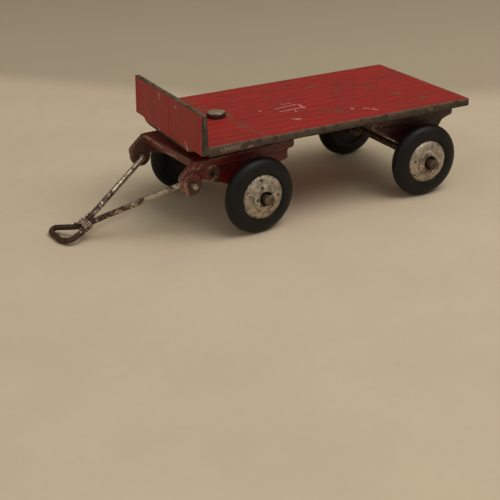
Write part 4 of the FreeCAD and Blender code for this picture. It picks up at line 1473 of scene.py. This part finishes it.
def make_stage(settings):
    """Floor that curves up far behind, soft lights, and the camera."""
    scene = bpy.context.scene
    profile = [(-FLOOR_HALF, 0.0), (FLOOR_BEND, 0.0)]
    for index in range(1, 13):
        angle = math.pi / 2 * index / 12
        rise = BEND_RADIUS - BEND_RADIUS * math.cos(angle)
        profile.append((FLOOR_BEND + BEND_RADIUS * math.sin(angle), rise))
    profile.append((FLOOR_BEND + BEND_RADIUS, WALL_TOP))
    away = Vector(FLOOR_AWAY)
    across = Vector((-away.y, away.x, 0))
    points, faces = [], []
    for distance, height in profile:
        for side in (-FLOOR_HALF, FLOOR_HALF):
            points.append((away * distance + across * side + Vector((0, 0, height))) / MM)
    for index in range(len(profile) - 1):
        base = index * 2
        faces.append((base, base + 1, base + 3, base + 2))
    mesh = mesh_from("floor", points, faces)
    floor = add_object("floor", mesh)
    mesh.materials.append(floor_material(settings))

    for name, place, size, power, tint in (
        ("key", (-0.25, 0.35, 0.85), 0.7, settings.key_power, (1.0, 0.97, 0.92)),
        ("fill", (0.75, 0.45, 0.55), 0.9, settings.key_power * 0.125, (1.0, 0.95, 0.88)),
    ):
        lamp = bpy.data.lights.new(name, "AREA")
        lamp.shape = "SQUARE"
        lamp.size = size
        lamp.energy = power
        lamp.color = tint
        light = bpy.data.objects.new(name, lamp)
        scene.collection.objects.link(light)
        light.location = place
        aim = Vector((0, 0, 0.015)) - Vector(place)
        light.rotation_euler = aim.to_track_quat("-Z", "Y").to_euler()

    world = bpy.data.worlds.new("room")
    scene.world = world
    world.use_nodes = True
    background = next(node for node in world.node_tree.nodes if node.type == "BACKGROUND")
    background.inputs["Color"].default_value = (1.0, 0.95, 0.88, 1.0)
    background.inputs["Strength"].default_value = 0.33

    data = bpy.data.cameras.new("camera")
    data.lens = settings.lens / MM
    data.sensor_width = 36
    data.clip_start = 0.01
    camera = bpy.data.objects.new("camera", data)
    scene.collection.objects.link(camera)
    right = Vector(CAMERA_RIGHT).normalized()
    forward = Vector(CAMERA_AHEAD).normalized()
    up = right.cross(forward).normalized()
    right = forward.cross(up).normalized()
    turn = Matrix((right, up, -forward)).transposed()
    camera.matrix_world = Matrix.Translation(CAMERA_PLACE) @ turn.to_4x4()
    scene.camera = camera
    scene.view_settings.view_transform = "Standard"


# ------------------------------------------------------------------ operators


class TRAILER_OT_bed(bpy.types.Operator):
    """Build the planked bed with its headboard"""

    bl_idname = "trailer.bed"
    bl_label = "Planked Bed"

    def execute(self, context):
        make_bed(context.scene.trailer_bed)
        return {"FINISHED"}


class TRAILER_OT_castings(bpy.types.Operator):
    """Build the front bogie and the rear frame"""

    bl_idname = "trailer.castings"
    bl_label = "Bogie and Rear Frame"

    def execute(self, context):
        centre = Vector((PIVOT.x, PIVOT.y, 0)) * MM
        make_casting("front_bogie", "bogie_casting", "bogie", 0.24, STEER, centre, "frame")
        make_casting("rear_frame", "rear_casting", "chassis", 0.27, 0.0, centre, "rear")
        return {"FINISHED"}


class TRAILER_OT_wheels(bpy.types.Operator):
    """Build the four wheels"""

    bl_idname = "trailer.wheels"
    bl_label = "Wheels"

    def execute(self, context):
        for end in ("front", "rear"):
            for hand in ("left", "right"):
                make_wheel(context.scene.trailer_wheels, end, hand)
        return {"FINISHED"}


class TRAILER_OT_axles(bpy.types.Operator):
    """Build the axles, the pivot rivet and its washer"""

    bl_idname = "trailer.axles"
    bl_label = "Axles and Rivet"

    def execute(self, context):
        # Build the axles and the pivot rivet, and give the washer the axle steel finish
        make_axle("front", "bogie")
        make_axle("rear", "chassis")
        make_rivet()
        washer = frame["nodes"]["pivot_washer"]
        washer.data.materials.clear()
        washer.data.materials.append(material_for("axle"))
        return {"FINISHED"}


class TRAILER_OT_drawbar(bpy.types.Operator):
    """Build the bent wire drawbar"""

    bl_idname = "trailer.drawbar"
    bl_label = "Drawbar"

    def execute(self, context):
        make_drawbar(context.scene.trailer_drawbar)
        return {"FINISHED"}


class TRAILER_OT_binding(bpy.types.Operator):
    """Build the wire wound round the drawbar's neck"""

    bl_idname = "trailer.binding"
    bl_label = "Binding Wire"

    def execute(self, context):
        make_binding(context.scene.trailer_drawbar)
        return {"FINISHED"}


class TRAILER_OT_stage(bpy.types.Operator):
    """Build the floor, the lights and the camera"""

    bl_idname = "trailer.stage"
    bl_label = "Stage"

    def execute(self, context):
        make_stage(context.scene.trailer_stage)
        return {"FINISHED"}


class TRAILER_PT_panel(bpy.types.Panel):
    """Settings and build steps of the trailer"""

    bl_idname = "TRAILER_PT_panel"
    bl_label = "Flat Trailer"
    bl_space_type = "VIEW_3D"
    bl_region_type = "UI"
    bl_category = "Trailer"

    def draw(self, context):
        for settings in ("trailer_bed", "trailer_wheels", "trailer_drawbar", "trailer_stage"):
            box = self.layout.box()
            group = getattr(context.scene, settings)
            for name in group.__annotations__:
                box.prop(group, name)
        for operator in OPERATORS:
            self.layout.operator(operator.bl_idname)


OPERATORS = (
    TRAILER_OT_bed,
    TRAILER_OT_castings,
    TRAILER_OT_wheels,
    TRAILER_OT_axles,
    TRAILER_OT_drawbar,
    TRAILER_OT_binding,
    TRAILER_OT_stage,
)
SETTINGS = {
    "trailer_bed": TrailerBedSettings,
    "trailer_wheels": TrailerWheelSettings,
    "trailer_drawbar": TrailerDrawbarSettings,
    "trailer_stage": TrailerStageSettings,
}


def register():
    for name, group in SETTINGS.items():
        bpy.utils.register_class(group)
        setattr(bpy.types.Scene, name, PointerProperty(type=group))
    for item in (*OPERATORS, TRAILER_PT_panel):
        bpy.utils.register_class(item)


def unregister():
    for item in (TRAILER_PT_panel, *reversed(OPERATORS)):
        bpy.utils.unregister_class(item)
    for name, group in SETTINGS.items():
        delattr(bpy.types.Scene, name)
        bpy.utils.unregister_class(group)


def main():
    register()
    bpy.ops.trailer.bed()
    bpy.ops.trailer.castings()
    bpy.ops.trailer.wheels()
    bpy.ops.trailer.axles()
    bpy.ops.trailer.drawbar()
    bpy.ops.trailer.binding()
    bpy.ops.trailer.stage()


if __name__ == "__main__":
    main()
